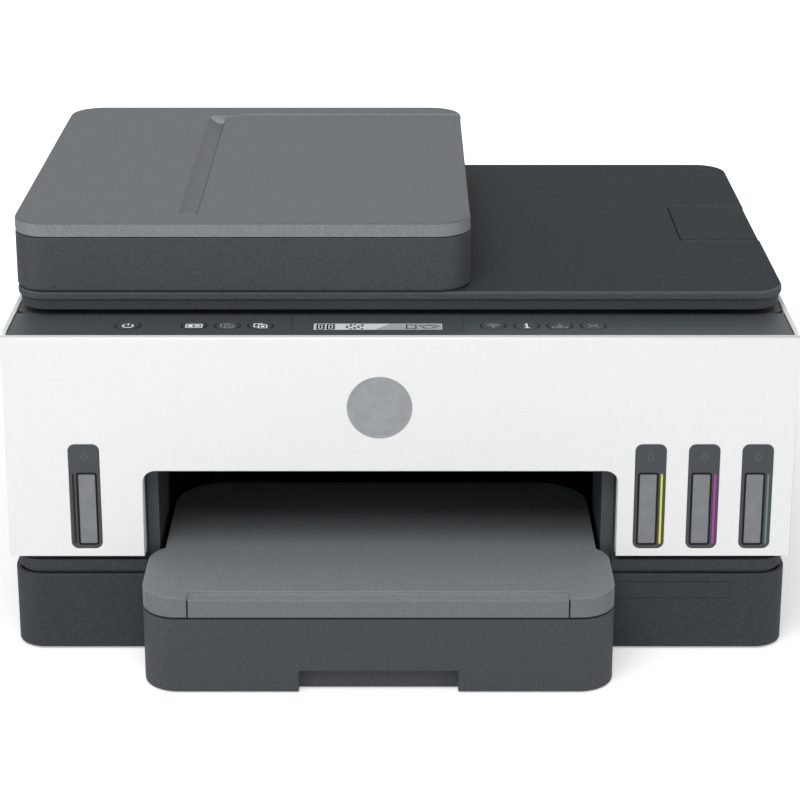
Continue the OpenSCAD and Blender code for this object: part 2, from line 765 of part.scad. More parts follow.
module scanner_bed() {
    color(dark) difference() {
        union() {
            difference() {
                slab([-bed_x, bed_x], bed_y, [bed_z, deck_z], shell_r - side_wall);
                slab([-bed_x + wall, bed_x - wall], [bed_y[0] + wall, bed_y[1] - wall],
                    [bed_z + wall, deck_z - bed_top_t], shell_r - side_wall - wall);
            }
            // rail that the scan bar runs on
            span([-bed_x + 1, bed_x - 1], [rail_y - rail_w / 2, rail_y + rail_w / 2],
                [bed_z + 1, bed_z + wall + rail_h]);
            // hinge ears of the lid
            for (h = [-1, 1], s = [-1, 1]) lid_ear(h * lid_hinge_x + s * (ear_half + ear_t / 2));
        }
        // rebates and windows for both glasses
        for (g = [glass_x, strip_x]) {
            span(g, glass_y, [deck_z - glass_t, deck_z + eps]);
            span([g[0] + seat, g[1] - seat], [glass_y[0] + seat, glass_y[1] - seat],
                [deck_z - bed_top_t - eps, deck_z]);
        }
        bar_x([-bed_x, bed_x], lid_pin_y, lid_pin_z, lid_pin_r + pin_play);
    }
}

module lid_ear(x) {
    along_x([x - ear_t / 2, x + ear_t / 2]) {
        translate([lid_pin_y, lid_pin_z]) circle(eye_r);
        translate([lid_pin_y - eye_r, deck_z - eps]) square([bed_y[1] - lid_pin_y + eye_r,
            lid_pin_z - deck_z + eps - 1]);
    }
}

module scanner_glass() {
    color("#9fb3b0", 0.6) for (g = [glass_x, strip_x])
        span([g[0] + 0.1, g[1] - 0.1], [glass_y[0] + 0.1, glass_y[1] - 0.1], [deck_z - glass_t, deck_z]);
}

module scan_carriage() {
    top = deck_z - bed_top_t - 0.6;
    bottom = bed_z + wall + gap;
    color(darker) difference() {
        span([bar_x0, bar_x0 + bar_w], [bed_y[0] + wall + 4, bed_y[1] - wall - 4], [bottom, top]);
        span([bar_x0 - eps, bar_x0 + bar_w + eps], [rail_y - rail_w / 2 - gap, rail_y + rail_w / 2 + gap],
            [bottom - eps, bed_z + wall + rail_h + gap]);
        // lens slot along the bar
        span([bar_x0 + bar_w / 2 - 2, bar_x0 + bar_w / 2 + 2], [glass_y[0] + seat, glass_y[1] - seat],
            [top - 1.5, top + eps]);
    }
}

// ---- print engine ----

module carriage_rod() {
    color(steel) bar_x([-end_x - 2, end_x + 2], rod_py, rod_z, rod_r);
}

module carriage_belt() {
    color(rubber) {
        difference() {
            along_y(belt_y) belt_loop(pulley_r + belt_t);
            along_y([belt_y[0] - eps, belt_y[1] + eps]) belt_loop(pulley_r + 0.02);
        }
        for (x = [-pulley_x, pulley_x]) bar_y([belt_y[0] - 1, belt_y[1] + 1], x, belt_mid_z, pulley_r);
        // axle of the idler pulley, seated in the cross wall's face
        bar_y([belt_y[1], cross_y], -pulley_x, belt_mid_z, 2);
    }
}

module belt_loop(r) {
    for (s = [-1, 1]) translate([s * pulley_x, belt_mid_z]) circle(r);
    translate([-pulley_x, belt_mid_z - r]) square([2 * pulley_x, 2 * r]);
}

module drive_motors() {
    color(steel) {
        // paper feed motor on the left end plate
        bar_x([-end_x + wall / 2, gear_x[0] - 4], pinion_py, pinion_z, 12);
        bar_x([gear_x[0] - 5, gear_x[1] - 1], pinion_py, pinion_z, 1.5);
        // carriage motor behind the cross wall
        bar_y([cross_y + wall, cross_y + wall + 26], pulley_x, belt_mid_z, 12);
        bar_y([belt_y[1] + 1, cross_y + wall + 1], pulley_x, belt_mid_z, 1.5);
    }
}

module platen() {
    x = [cheek_x[0] + wall, cheek_x[1] - wall];
    y = [eject_py + roller_r + 2, feed_py - roller_r - 2];
    z = [paper_z - 9, paper_z - 3];
    rib_pitch = 14.5;
    color(rubber) {
        span(x, y, z);
        for (i = [-8:8]) span([path_x + i * rib_pitch - 1, path_x + i * rib_pitch + 1],
            [y[0] + 2, y[1] - 2], [z[1] - 1, paper_z - 0.6]);
    }
}

// Ink service station under the parked carriage
module service_station() {
    y = [carr_y[0] + 4, carr_y[1] - 4];
    color(rubber) {
        difference() {
            span(station_x, y, [frame_floor_z, paper_z - 6]);
            span([station_x[0] + 3, station_x[1] - 3], [y[0] + 3, y[1] - 3], [frame_floor_z + 12, paper_z]);
        }
        // two head caps and a wiper blade
        for (s = [-1, 1]) difference() {
            slab([carr_x + s * 14 - 10, carr_x + s * 14 + 10], [py(rod_y) - 56, py(rod_y) - 26],
                [frame_floor_z + 10, paper_z + 1.2], 3);
            slab([carr_x + s * 14 - 8.5, carr_x + s * 14 + 8.5], [py(rod_y) - 54.5, py(rod_y) - 27.5],
                [paper_z - 2, paper_z + 3], 2);
        }
        span([station_x[0] + 8, station_x[1] - 8], [y[0] + 6, y[0] + 7.2], [frame_floor_z + 10, paper_z + 2]);
    }
}

// ---- ink supply ----

// One tank with its filling port and the two ears of its cap
module tank(x, cap_x) {
    difference() {
        union() {
            along_y(tank_y) {
                translate([x[0], frame_floor_z]) square([x[1] - x[0], tank_top_z - frame_floor_z - 3]);
                translate([x[0] + 3, frame_floor_z]) square([x[1] - x[0] - 6, tank_top_z - frame_floor_z]);
                for (cx = [x[0] + 3, x[1] - 3]) translate([cx, tank_top_z - 3]) circle(3);
            }
            for (s = [-1, 1]) along_x([cap_x + s * (cap_w / 2 - 1.5) - 1.5, cap_x + s * (cap_w / 2 - 1.5) + 1.5]) {
                translate([cap_pin_y, cap_pin_z]) circle(2.3);
                translate([cap_pin_y - 2.3, tank_top_z - eps]) square([4.6, cap_pin_z - tank_top_z + eps]);
            }
        }
        bar_z([tank_top_z - 14, tank_top_z + eps], cap_x, port_y, port_r);
        bar_x([cap_x - cap_w, cap_x + cap_w], cap_pin_y, cap_pin_z, 1.2 + pin_play);
    }
}

module black_tank() {
    color("#2c2e30") tank(black_x, win_black_x);
}

module color_tanks() {
    color("#3a3d40") {
        for (x = color_xs) tank([x - color_tank_w / 2, x + color_tank_w / 2], x);
        // foot and back web that join the three chambers
        span([color_xs[0] - color_tank_w / 2 + 1, color_xs[2] + color_tank_w / 2 - 1],
            [tank_y[0] + 10, tank_y[1] - 2], [frame_floor_z, frame_floor_z + 6]);
        span([color_xs[0] - color_tank_w / 2 + 1, color_xs[2] + color_tank_w / 2 - 1],
            [tank_y[1] - 5, tank_y[1] - 2], [frame_floor_z, tank_top_z - 20]);
    }
}

// Hinged cap with a tapered plug
module cap(x) {
    y0 = port_y - port_r - 3;
    arm = cap_w / 2 - 3.3;
    color(rubber) {
        slab([x - cap_w / 2, x + cap_w / 2], [y0, cap_pin_y - 3], [tank_top_z + gap, tank_top_z + gap + cap_t], 3);
        span([x - arm, x + arm], [cap_pin_y - 5, cap_pin_y], [cap_pin_z - 1, cap_pin_z + 0.2 + cap_t - 2.2]);
        bar_x([x - arm, x + arm], cap_pin_y, cap_pin_z, 2);
        bar_x([x - cap_w / 2, x + cap_w / 2], cap_pin_y, cap_pin_z, 1.2);
        translate([x, port_y, tank_top_z - 4.5]) cylinder(h = 5, r1 = port_r - 1.8, r2 = port_r - 0.35);
    }
}

// Four tubes along the bay roof, each ending on the back of its tank
module ink_tubes() {
    tube_r = 1.6;
    tube_z = bay_top_z + wall + gap + tube_r;
    ends = concat([win_black_x], color_xs);
    color("#1d1e20") for (i = [0:3]) {
        y = tank_y[1] + 5 + i * 3.6;
        x0 = min(ends[i], path_x);
        x1 = max(ends[i], path_x);
        bar_x([x0, x1], y, tube_z, tube_r);
        bar_y([tank_y[1], y], ends[i], tube_z, tube_r);
        translate([ends[i], y, tube_z]) sphere(tube_r);
    }
    // clip where the flexible ribbon leaves for the carriage
    color(rubber) span([path_x - 6, path_x], [tank_y[1] + 2, tank_y[1] + 17.6], [bay_top_z + wall, tube_z + 3]);
}

// ---- electrics ----

module power_supply() {
    y1 = back_y - wall - gap;
    color(rubber) difference() {
        union() {
            span(supply_x, [y1 - supply_d, y1], [floor_z, base_top_z - 4]);
            span([inlet_x[0] + gap, inlet_x[1] - gap], [y1 - eps, back_y - 0.3],
                [inlet_z[0] + gap, inlet_z[1] - gap]);
        }
        // socket with round ends
        along_y([back_y - 14, back_y + eps]) for (s = [-1, 1]) {
            translate([(inlet_x[0] + inlet_x[1]) / 2 + s * 4.4, (inlet_z[0] + inlet_z[1]) / 2]) circle(4.6);
            translate([(inlet_x[0] + inlet_x[1]) / 2 - 4.4, (inlet_z[0] + inlet_z[1]) / 2 - 4.6]) square([8.8, 9.2]);
        }
    }
    color(steel) for (s = [-1, 1]) bar_y([back_y - 15, back_y - 4],
        (inlet_x[0] + inlet_x[1]) / 2 + s * 4.4, (inlet_z[0] + inlet_z[1]) / 2, 1.2);
}

module main_board() {
    y = back_y - wall - 16;
    color("#2c5a46") span(board_x, [y - board_t, y], [frame_floor_z, frame_floor_z + 90]);
    color(steel) difference() {
        span([usb_x[0] + gap, usb_x[1] - gap], [y - 0.5, back_y - 0.8], [usb_z[0] + gap, usb_z[1] - gap]);
        span([usb_x[0] + 2.3, usb_x[1] - 2.3], [back_y - 10, back_y], [usb_z[0] + 2, usb_z[1] - 2]);
    }
    color(rubber) {
        span([board_x[0] + 12, board_x[0] + 36], [y - 4, y - 1], [frame_floor_z + 50, frame_floor_z + 74]);
        span([board_x[0] + 42, board_x[0] + 62], [y - 3, y - 1], [frame_floor_z + 14, frame_floor_z + 26]);
    }
}

// ---- front door ----

module door_outline(t) {
    difference() {
        translate([-half_w + t, door_bottom_z + t]) square([body_w - 2 * t, deck_z - door_bottom_z - 2 * t]);
        bay_outline(t);
        for (x = win_xs) translate([x - win_w / 2 - t, win_z - t]) square([win_w + 2 * t, win_h + 2 * t]);
    }
}

// Bay opening, grown outward by t, open at the bottom
module bay_outline(t) {
    x = [bay_left - t, bay_right + t];
    top = bay_top_z + t;
    r = bay_r + t;
    translate([x[0], door_bottom_z - 20]) square([x[1] - x[0], top - r - door_bottom_z + 20]);
    translate([x[0] + r, top - r - eps]) square([x[1] - x[0] - 2 * r, r + eps]);
    for (cx = [x[0] + r, x[1] - r]) translate([cx, top - r]) circle(r);
}

module front_door() {
    color(white) difference() {
        union() {
            difference() {
                // body of the door, with its thin rim in front of the deck
                along_y([panel_y, py(door_t)]) difference() {
                    translate([-half_w, door_bottom_z]) square([body_w, deck_under_z - 0.5 - door_bottom_z]);
                    bay_outline(0);
                }
                // ribbed hollow behind the face
                intersection() {
                    along_y([py(door_skin), py(door_t) + eps]) door_outline(wall);
                    span([-half_w, half_w], [panel_y, back_y], [0, deck_under_z - 0.5 - wall]);
                }
            }
            span([-half_w, half_w], [panel_y, py(door_skin)], [deck_under_z - 1, deck_z]);
            // upright ribs
            for (x = [bay_left + 30, path_x, bay_right - 30]) span([x - 1, x + 1],
                [py(door_skin) - eps, py(door_t)], [bay_top_z + 1, deck_under_z - 1]);
        }
        // windows
        along_y([panel_y - eps, py(door_t) + eps]) for (x = win_xs)
            plan([x - win_w / 2, x + win_w / 2], [win_z, win_z + win_h], win_r);
        // lower back edge turned round the hinge pins
        along_x([-half_w - eps, half_w + eps]) difference() {
            translate([py(door_skin), door_bottom_z - eps]) square([door_t, pin_z - door_bottom_z + eps]);
            translate([pin_y, pin_z]) circle(py(door_t) - pin_y);
        }
        // room for the hinge lugs
        for (x = lug_xs) span([x - lug_w / 2 - gap, x + lug_w / 2 + gap],
            [pin_y - door_eye_r - gap, py(door_t) + eps], [door_bottom_z - eps, pin_z + door_eye_r + gap]);
    }
    // hinge pins across the lug gaps
    color(white) for (x = lug_xs) {
        bar_x([x - lug_w / 2 - 1, x + lug_w / 2 + 1], pin_y, pin_z, door_pin_r);
        for (s = [-1, 1]) span([x + s * (lug_w / 2 + gap + 1) - 1, x + s * (lug_w / 2 + gap + 1) + 1],
            [py(door_skin) - eps, pin_y + 1.5], [pin_z - 3, pin_z + 2.4]);
    }
}

module tank_windows() {
    play = 0.1;
    for (x = win_xs) {
        cx = x - sign(x) * slot_shift;
        color(darker) difference() {
            along_y([panel_y + 0.3, py(door_t)])
                plan([x - win_w / 2 + play, x + win_w / 2 - play], [win_z + play, win_z + win_h - play], win_r - play);
            along_y([panel_y - eps, py(door_t) + eps]) slot_outline(cx, slot_groove);
        }
        // clear level slot, stepped so that a groove runs round its face
        color("#8f9496") {
            along_y([panel_y + 0.5, py(door_t) - 3]) slot_outline(cx, 0);
            along_y([py(3), py(door_t) - 3]) slot_outline(cx, slot_groove);
        }
    }
}

// Outline of a level slot about cx, grown outward by t
module slot_outline(cx, t) {
    plan([cx - slot_w / 2 - t, cx + slot_w / 2 + t], [win_z + slot_lift - t, win_z + slot_lift + slot_h + t], 0.8 + t / 2);
}

// ---- cassette ----

module cassette() {
    box_y0 = panel_y - gap;
    color(dark) difference() {
        union() {
            // front box that stands out of the machine
            slab(cas_x, [cas_y0, box_y0 + cas_r], [cas_lift, cas_top_z], cas_r);
            // paper box
            span(cas_x, [box_y0, cas_y1], [floor_z + gap, cas_box_top]);
        }
        // square off the front box where it meets the machine
        span([cas_x[0] - eps, cas_x[1] + eps], [box_y0, box_y0 + cas_r + eps], [0, floor_z + gap]);
        span([cas_x[0] - eps, cas_x[1] + eps], [box_y0, box_y0 + cas_r + eps], [cas_box_top, cas_top_z + eps]);
        // inside of the cassette
        span([cas_x[0] + cas_wall, cas_x[1] - cas_wall], [box_y0 - eps, cas_y1 - cas_wall],
            [cas_floor_z, cas_top_z + eps]);
        slab([cas_x[0] + cas_wall, cas_x[1] - cas_wall], [cas_y0 + cas_front_t, box_y0 + cas_r],
            [cas_floor_z, cas_top_z + eps], cas_r - cas_wall);
        // finger notch
        span([path_x - notch_w / 2, path_x + notch_w / 2], [cas_y0 - eps, cas_y0 + notch_d],
            [0, notch_h]);
    }
}

module output_tray() {
    box_y0 = panel_y - gap;
    y1 = py(tray_in);
    z = [cas_top_z + gap, tray_top_z];
    plate_y1 = cas_y0 + ext_front_t + ext_len;
    color(grey) difference() {
        union() {
            // part in front of the machine, over the cassette front
            slab(cas_x, [cas_y0, box_y0 + tray_wing], z, cas_r, $fn = 64);
            span([tray_x[0] + 4, tray_x[1] - 4], [cas_y0 + cas_r, box_y0 + 50], z);
            // part in the bay
            slab(tray_x, [box_y0 - 24, y1], z, tray_r, $fn = 64);
        }
        // slot of the extender plate and room for its front
        span([ext_x[0] - gap, ext_x[1] + gap], [cas_y0 - eps, plate_y1 + gap], [ext_z - gap, ext_z + ext_t + gap]);
        span([ext_x[0] - gap, ext_x[1] + gap], [cas_y0 - eps, cas_y0 + ext_front_t + gap], [0, tray_top_z + eps]);
        // finger groove behind the extender front
        span([ext_x[0] - gap, ext_x[1] + gap], [cas_y0, cas_y0 + ext_front_t + groove_d],
            [tray_top_z - groove_h, tray_top_z + eps]);
    }
}

module output_extender() {
    color(grey) {
        span(ext_x, [cas_y0 + 0.1, cas_y0 + ext_front_t + ext_len], [ext_z, ext_z + ext_t]);
        span(ext_x, [cas_y0, cas_y0 + ext_front_t], [cas_top_z + gap, tray_top_z - 1.5]);
    }
}

// Upright paper guide with a foot, on the side given by s
module width_guide(s) {
    face = path_x + s * sheet_w / 2;
    z0 = cas_floor_z + gap;
    color(darker) {
        span([min(face, face + s * 2), max(face, face + s * 2)], guide_y, [z0, cas_box_top - 3]);
        span([min(face, face + s * 9), max(face, face + s * 9)], [guide_y[0] + 50, guide_y[1] - 40], [z0, z0 + 3]);
        for (y = [guide_y[0] + 60, guide_y[1] - 55]) span([min(face, face + s * 7), max(face, face + s * 7)],
            [y, y + 2], [z0, cas_box_top - 12]);
    }
}

module width_guide_left() { width_guide(-1); }
module width_guide_right() { width_guide(1); }

module length_guide() {
    y = cas_y1 - cas_wall - sheet_len;
    z0 = cas_floor_z + gap;
    color(darker) {
        span([path_x - 25, path_x + 25], [y - 2.2, y], [z0, cas_box_top - 4]);
        span([path_x - 18, path_x + 18], [y - 2.2, y + 20], [z0, z0 + 1.6]);
    }
}

// ---- rollers and gears ----

module toothed(teeth, turn, y, z, bore) {
    along_x(gear_x) translate([y, z]) difference() {
        gear_outline(teeth, turn);
        circle(bore);
    }
}

// Shaft, rubber sleeves and gear of a paper roller
module paper_roller(y, sleeves, teeth) {
    x = [cheek_x[0] + wall + 1, cheek_x[1] - wall - 1];
    color(steel) {
        bar_x([gear_x[0] + 0.5, cheek_x[1]], y, roller_z, journal_r);
        bar_x(x, y, roller_z, journal_r + 1.5);
    }
    color(rubber) for (s = sleeves) bar_x([path_x + s[0], path_x + s[1]], y, roller_z, roller_r);
    color(white) {
        along_x(gear_x) translate([y, roller_z]) gear_outline(teeth, 180);
        bar_x([gear_x[1] - eps, gear_x[1] + 5], y, roller_z, journal_r + 2);
    }
}

module feed_roller() {
    paper_roller(feed_py, [for (i = [-3:3]) [i * 34 - 12, i * 34 + 12]], feed_teeth);
}

module eject_roller() {
    paper_roller(eject_py, [for (i = [-4:4]) [i * 26 - 5, i * 26 + 5]], eject_teeth);
}

module idler_gear() {
    color(white) toothed(idle_teeth, 360 / idle_teeth / 2, idle_py, roller_z, 2.5 + pin_play);
}

module motor_pinion() {
    color("#c9a95c") along_x(gear_x) translate([pinion_py, pinion_z]) difference() {
        gear_outline(pinion_teeth, pinion_angle + 180 + 360 / pinion_teeth / 2);
        circle(1.5 + pin_play);
    }
}

module pick_arm() {
    color(dark) difference() {
        union() {
            for (s = [-1, 1]) along_x([path_x + s * 11 - 1.2, path_x + s * 11 + 1.2]) {
                translate([arm_py, arm_z]) circle(4);
                translate([pick_py, pick_z]) circle(4);
                arm_web();
            }
            bar_x([path_x - 11, path_x + 11], arm_py, arm_z, 4);
            bar_x([path_x - 17, path_x + 17], arm_py, arm_z, 2);
        }
        bar_x([path_x - 20, path_x + 20], pick_py, pick_z, 1.5 + pin_play);
    }
}

// Straight side of the pick arm between its two bosses
module arm_web() {
    rise = pick_z - arm_z;
    run = pick_py - arm_py;
    len = sqrt(rise * rise + run * run);
    translate([arm_py, arm_z]) rotate(atan2(rise, run)) translate([0, -3]) square([len, 6]);
}

module pick_roller() {
    color(rubber) bar_x([path_x - 9, path_x + 9], pick_py, pick_z, pick_r);
    color(steel) bar_x([path_x - 12, path_x + 12], pick_py, pick_z, 1.5);
}

// ---- print carriage ----

module print_carriage() {
    x = [carr_x - carr_w / 2, carr_x + carr_w / 2];
    clamp_y = [carr_y[1] - 1, belt_y[1] + 0.5];
    color(dark) difference() {
        union() {
            difference() {
                span(x, carr_y, carr_z);
                // pockets of the two heads, open at top and bottom
                for (s = [-1, 1]) span([carr_x + s * 14.5 - 13, carr_x + s * 14.5 + 13],
                    [carr_y[0] + 3, carr_y[1] - 6], [carr_z[0] - eps, carr_z[1] + eps]);
            }
            span(x, [carr_y[1] - 3, rod_py + 5], [rod_z - 8, rod_z + 8]);
            span([carr_x - 12, carr_x + 12], clamp_y, [belt_run[0] - 4, belt_run[1] + 4]);
        }
        bar_x([x[0] - eps, x[1] + eps], rod_py, rod_z, rod_r + pin_play);
        // slot of the belt, open at the back
        span([carr_x - 13, carr_x + 13], [belt_y[0] - gap, belt_y[1] + 2],
            [belt_run[0] - gap, belt_run[1] + gap]);
    }
}

module printheads() {
    for (s = [-1, 1]) color(s < 0 ? "#202224" : "#3d4a58") {
        span([carr_x + s * 14.5 - 12.8, carr_x + s * 14.5 + 12.8], [carr_y[0] + 3.2, carr_y[1] - 6.2],
            [carr_z[0] + 1, carr_z[1] - 4]);
        slab([carr_x + s * 14.5 - 9, carr_x + s * 14.5 + 9], [py(rod_y) - 55, py(rod_y) - 27],
            [paper_z + 2, carr_z[0] + 2], 2);
    }
}

// ---- lid ----

module lid_frame() {
    x = [-lid_half_w + lid_inset, lid_half_w - lid_inset];
    y = [py(lid_y0 + lid_inset), py(lid_y1 - lid_inset)];
    arm_z0 = lid_pin_z - 2.4;
    color(darker) difference() {
        union() {
            difference() {
                slab(x, y, [lid_z0, lid_z1], lid_r - lid_inset);
                // room for the ears on the bed
                for (h = [-1, 1]) span([h * lid_hinge_x - ear_half - ear_t - gap,
                    h * lid_hinge_x + ear_half + ear_t + gap], [lid_pin_y - 6, y[1] + eps], [lid_z0 - eps, lid_z1 + eps]);
                // pocket of the pad
                span([pad_x[0] - 0.1, pad_x[1] + 0.1], [pad_y[0] - 0.1, pad_y[1] + 0.1], [lid_z0 - eps, lid_z0 + 2]);
            }
            for (h = [-1, 1]) {
                bar_x([h * lid_hinge_x - ear_half + gap, h * lid_hinge_x + ear_half - gap], lid_pin_y, lid_pin_z, 3);
                bar_x([h * lid_hinge_x - ear_half - ear_t, h * lid_hinge_x + ear_half + ear_t], lid_pin_y, lid_pin_z, lid_pin_r);
                span([h * lid_hinge_x - ear_half + gap, h * lid_hinge_x + ear_half - gap],
                    [lid_pin_y - 7, lid_pin_y], [lid_pin_z - 0.5, lid_pin_z + 3]);
            }
        }
    }
}

module lid_pad() {
    color("#f2f3f2") span(pad_x, pad_y, [deck_z + gap, lid_z0 + 2]);
}

module lid_top() {
    edge = 0.8;
    color(dark) difference() {
        soft_slab([-lid_half_w, lid_half_w], [py(lid_y0), py(lid_y1)], [lid_z1, lid_z2], lid_r, edge);
        // recess of the paper stop flap, its hinge trough and pin bores
        span([flap_x0, flap_pin_x], flap_y, [flap_pin_z - gap, lid_z2 + eps]);
        span([flap_pin_x - flap_t - gap, lid_half_w + eps], flap_y, [flap_pin_z - flap_t - gap, lid_z2 + eps]);
        bar_y([flap_y[0] - 3, flap_y[1] + 3], flap_pin_x, flap_pin_z, flap_pin_r + pin_play);
    }
}

module lid_flap() {
    y = [flap_y[0] + gap, flap_y[1] - gap];
    color(dark) {
        span([flap_x0 + 0.5, flap_pin_x], y, [flap_pin_z, lid_z2]);
        bar_y(y, flap_pin_x, flap_pin_z, flap_t);
        bar_y([y[0] - 2.5, y[1] + 2.5], flap_pin_x, flap_pin_z, flap_pin_r);
    }
}

// ---- document feeder ----

module adf_base() {
    color(dark) difference() {
        union() {
            difference() {
                union() {
                    slab([adf_x0, adf_x1], adf_y, [lid_z2 + plinth_h, adf_z1], adf_r);
                    slab([adf_x0 + plinth_h, adf_x1 - plinth_h], [adf_y[0] + plinth_h, adf_y[1] - plinth_h],
                        [lid_z2, lid_z2 + plinth_h + eps], adf_r - plinth_h);
                }
                // feed room under the cover, input pocket and exit slot
                span(feed_room_x, pocket_y, [exit_z[0] + 2, adf_z1 + eps]);
                span([feed_room_x[1] - eps, adf_x1 - wall], pocket_y, [pocket_z, adf_z1 + eps]);
                span([feed_room_x[1] - eps, adf_x1 + eps], pocket_y, exit_z);
                // sloped end of the input pocket
                along_y(pocket_y) polygon([[adf_x1 - wall - eps, pocket_z + 5], [adf_x1 + eps, adf_z1 - 5],
                    [adf_x1 + eps, adf_z1 + eps], [adf_x1 - wall - eps, adf_z1 + eps]]);
            }
            // goosenecks that carry the cover
            for (y = cover_ears) cover_ear(y);
        }
        bar_y([pocket_y[0] - 2.5, pocket_y[1] + 2.5], adf_roller_x, adf_roller_z, journal_r + pin_play);
        bar_y([doc_y[0], doc_y[1]], cover_pin_x, cover_pin_z, cover_pin_r + pin_play);
    }
}

// Post and arm whose eye holds a pin of the cover
module cover_ear(y) {
    along_y([y - ear_w / 2, y + ear_w / 2]) {
        translate([cover_pin_x, cover_pin_z]) circle(cover_eye_r);
        translate([cover_pin_x, cover_pin_z - 1.5]) square([9, 3]);
        translate([cover_pin_x + 6, adf_z1 - eps]) square([3, cover_pin_z + 1.5 - adf_z1 + eps]);
    }
}

module adf_roller() {
    color(steel) bar_y([pocket_y[0] - 2, pocket_y[1] + 2], adf_roller_x, adf_roller_z, journal_r);
    color(rubber) for (y = [doc_mid_y - 52, doc_mid_y - 10, doc_mid_y + 32])
        bar_y([y, y + 20], adf_roller_x, adf_roller_z, adf_roller_r);
}

module adf_cover() {
    skin = wall;
    edge = 0.9;
    inner_z = cover_z1 - skin;
    open_x = [doc_x0, adf_x1 + eps];
    color(grey) difference() {
        union() {
            difference() {
                soft_slab([adf_x0, adf_x1], adf_y, [cover_z0, cover_z1], adf_r, edge);
                // hollow underside
                slab([adf_x0 + wall, adf_x1 - wall], [adf_y[0] + wall, adf_y[1] - wall],
                    [cover_z0 - eps, inner_z], adf_r - wall);
            }
            // walls round the tray opening
            span([doc_x0 - scoop_w - wall, adf_x1 - wall], [doc_y[0] - wall, doc_y[1] + wall], [cover_z0, inner_z + eps]);
            // ribs that carry the hinge pins
            for (y = cover_ears) span([cover_pin_x - 1.5, cover_pin_x + 2],
                [y + ear_w / 2 + gap, y + ear_w / 2 + gap + 3], [cover_pin_z - 1.5, inner_z + eps]);
        }
        // tray opening, down to a bar at the right end
        span([doc_x0, adf_x1 - 12], doc_y, [cover_z0 - eps, cover_z1 + eps]);
        span([adf_x1 - 13, adf_x1 + eps], doc_y, [doc_pin_z - doc_t - gap, cover_z1 + eps]);
        // finger scoop beside the tray, turning round the tray's back corner
        along_y([doc_y[0] + 2.5, doc_y[1] - doc_r]) translate([doc_x0, 0]) scoop_outline();
        intersection() {
            translate([doc_x0 + doc_r, doc_y[1] - doc_r, 0]) rotate([0, 0, 90])
                rotate_extrude(angle = 90) mirror([1, 0]) translate([-doc_r, 0]) scoop_outline();
            span([doc_x0 - scoop_w, doc_x0 + doc_r], [doc_y[1] - doc_r, doc_y[1]], [cover_z0, cover_z1 + eps]);
        }
        // lower left edge eased so that the cover can swing
        span([adf_x0 - eps, adf_x0 + 1.2], [adf_y[0] - eps, adf_y[1] + eps], [cover_z0 - eps, cover_z0 + 1]);
        // room for the ears and bores for the tray's pins
        for (y = cover_ears) span([cover_pin_x - cover_eye_r - gap, cover_pin_x + 12],
            [y - ear_w / 2 - gap, y + ear_w / 2 + gap], [cover_z0 - eps, cover_pin_z + cover_eye_r + gap]);
        bar_y([doc_y[0] - wall - eps, doc_y[1] + wall + eps], doc_pin_x, doc_pin_z, doc_pin_r + pin_play);
    }
    color(grey) {
        for (y = cover_ears) bar_y([y - ear_w / 2 - 0.2, y + ear_w / 2 + gap + 1],
            cover_pin_x, cover_pin_z, cover_pin_r);
        // ledge under the tray's free edge, level with the bottom of the scoop
        span([doc_x0 - wall, doc_x0 + ledge_w], [doc_y[0] - eps, doc_y[1] + eps],
            [cover_z1 - scoop_h - ledge_t, cover_z1 - scoop_h]);
    }
}

// Curved dip that deepens toward the tray's edge
module scoop_outline() {
    r = (scoop_w * scoop_w + scoop_h * scoop_h) / (2 * scoop_h);
    intersection() {
        translate([0, cover_z1 - scoop_h + r]) circle(r);
        translate([-scoop_w, cover_z1 - scoop_h]) square([scoop_w, scoop_h + eps]);
    }
}

module document_tray() {
    y = [doc_y[0] + 0.35, doc_y[1] - 0.35];
    color(grey) {
        difference() {
            span([doc_x0 + 0.35, doc_pin_x], y, [doc_pin_z, cover_z1]);
            // round back corner beside the scoop
            difference() {
                span([doc_x0 - eps, doc_x0 + doc_r], [doc_y[1] - doc_r, doc_y[1] + eps],
                    [doc_pin_z - eps, cover_z1 + eps]);
                bar_z([doc_pin_z - 2 * eps, cover_z1 + 2 * eps], doc_x0 + doc_r, doc_y[1] - doc_r, doc_r - 0.35);
            }
        }
        bar_y(y, doc_pin_x, doc_pin_z, doc_t);
        bar_y([y[0] - 2.2, y[1] + 2.2], doc_pin_x, doc_pin_z, doc_pin_r);
        // stiffening ribs
        for (v = [0.2, 0.5, 0.8]) span([doc_x0 + 14, doc_pin_x - 8],
            [y[0] + v * (y[1] - y[0]) - 1, y[0] + v * (y[1] - y[0]) + 1], [doc_pin_z - 2, doc_pin_z + eps]);
    }
}

// Paper guide of the document feeder on the side given by s
module adf_guide(s) {
    face = doc_mid_y + s * sheet_w / 2;
    z0 = pocket_z + gap;
    color(darker) {
        span(doc_guide_x, [min(face, face + s * 2), max(face, face + s * 2)], [z0, adf_z1 - 3]);
        span([doc_guide_x[0] + 20, doc_guide_x[1] - 20], [min(face, face - s * 22), max(face, face - s * 22)], [z0, z0 + 1.4]);
    }
}

module adf_guide_front() { adf_guide(-1); }
module adf_guide_back() { adf_guide(1); }

module button_power() { button(left_btns[0]); }
module button_card() { button(left_btns[1]); }
module button_copy() { button(left_btns[2]); }
module button_color() { button(left_btns[3]); }
module button_wireless() { button(right_btns[0]); }
module button_info() { button(right_btns[1]); }
module button_resume() { button(right_btns[2]); }
module button_cancel() { button(right_btns[3]); }
module cap_black() { cap(win_black_x); }
module cap_yellow() { cap(color_xs[0]); }
module cap_magenta() { cap(color_xs[1]); }
module cap_cyan() { cap(color_xs[2]); }

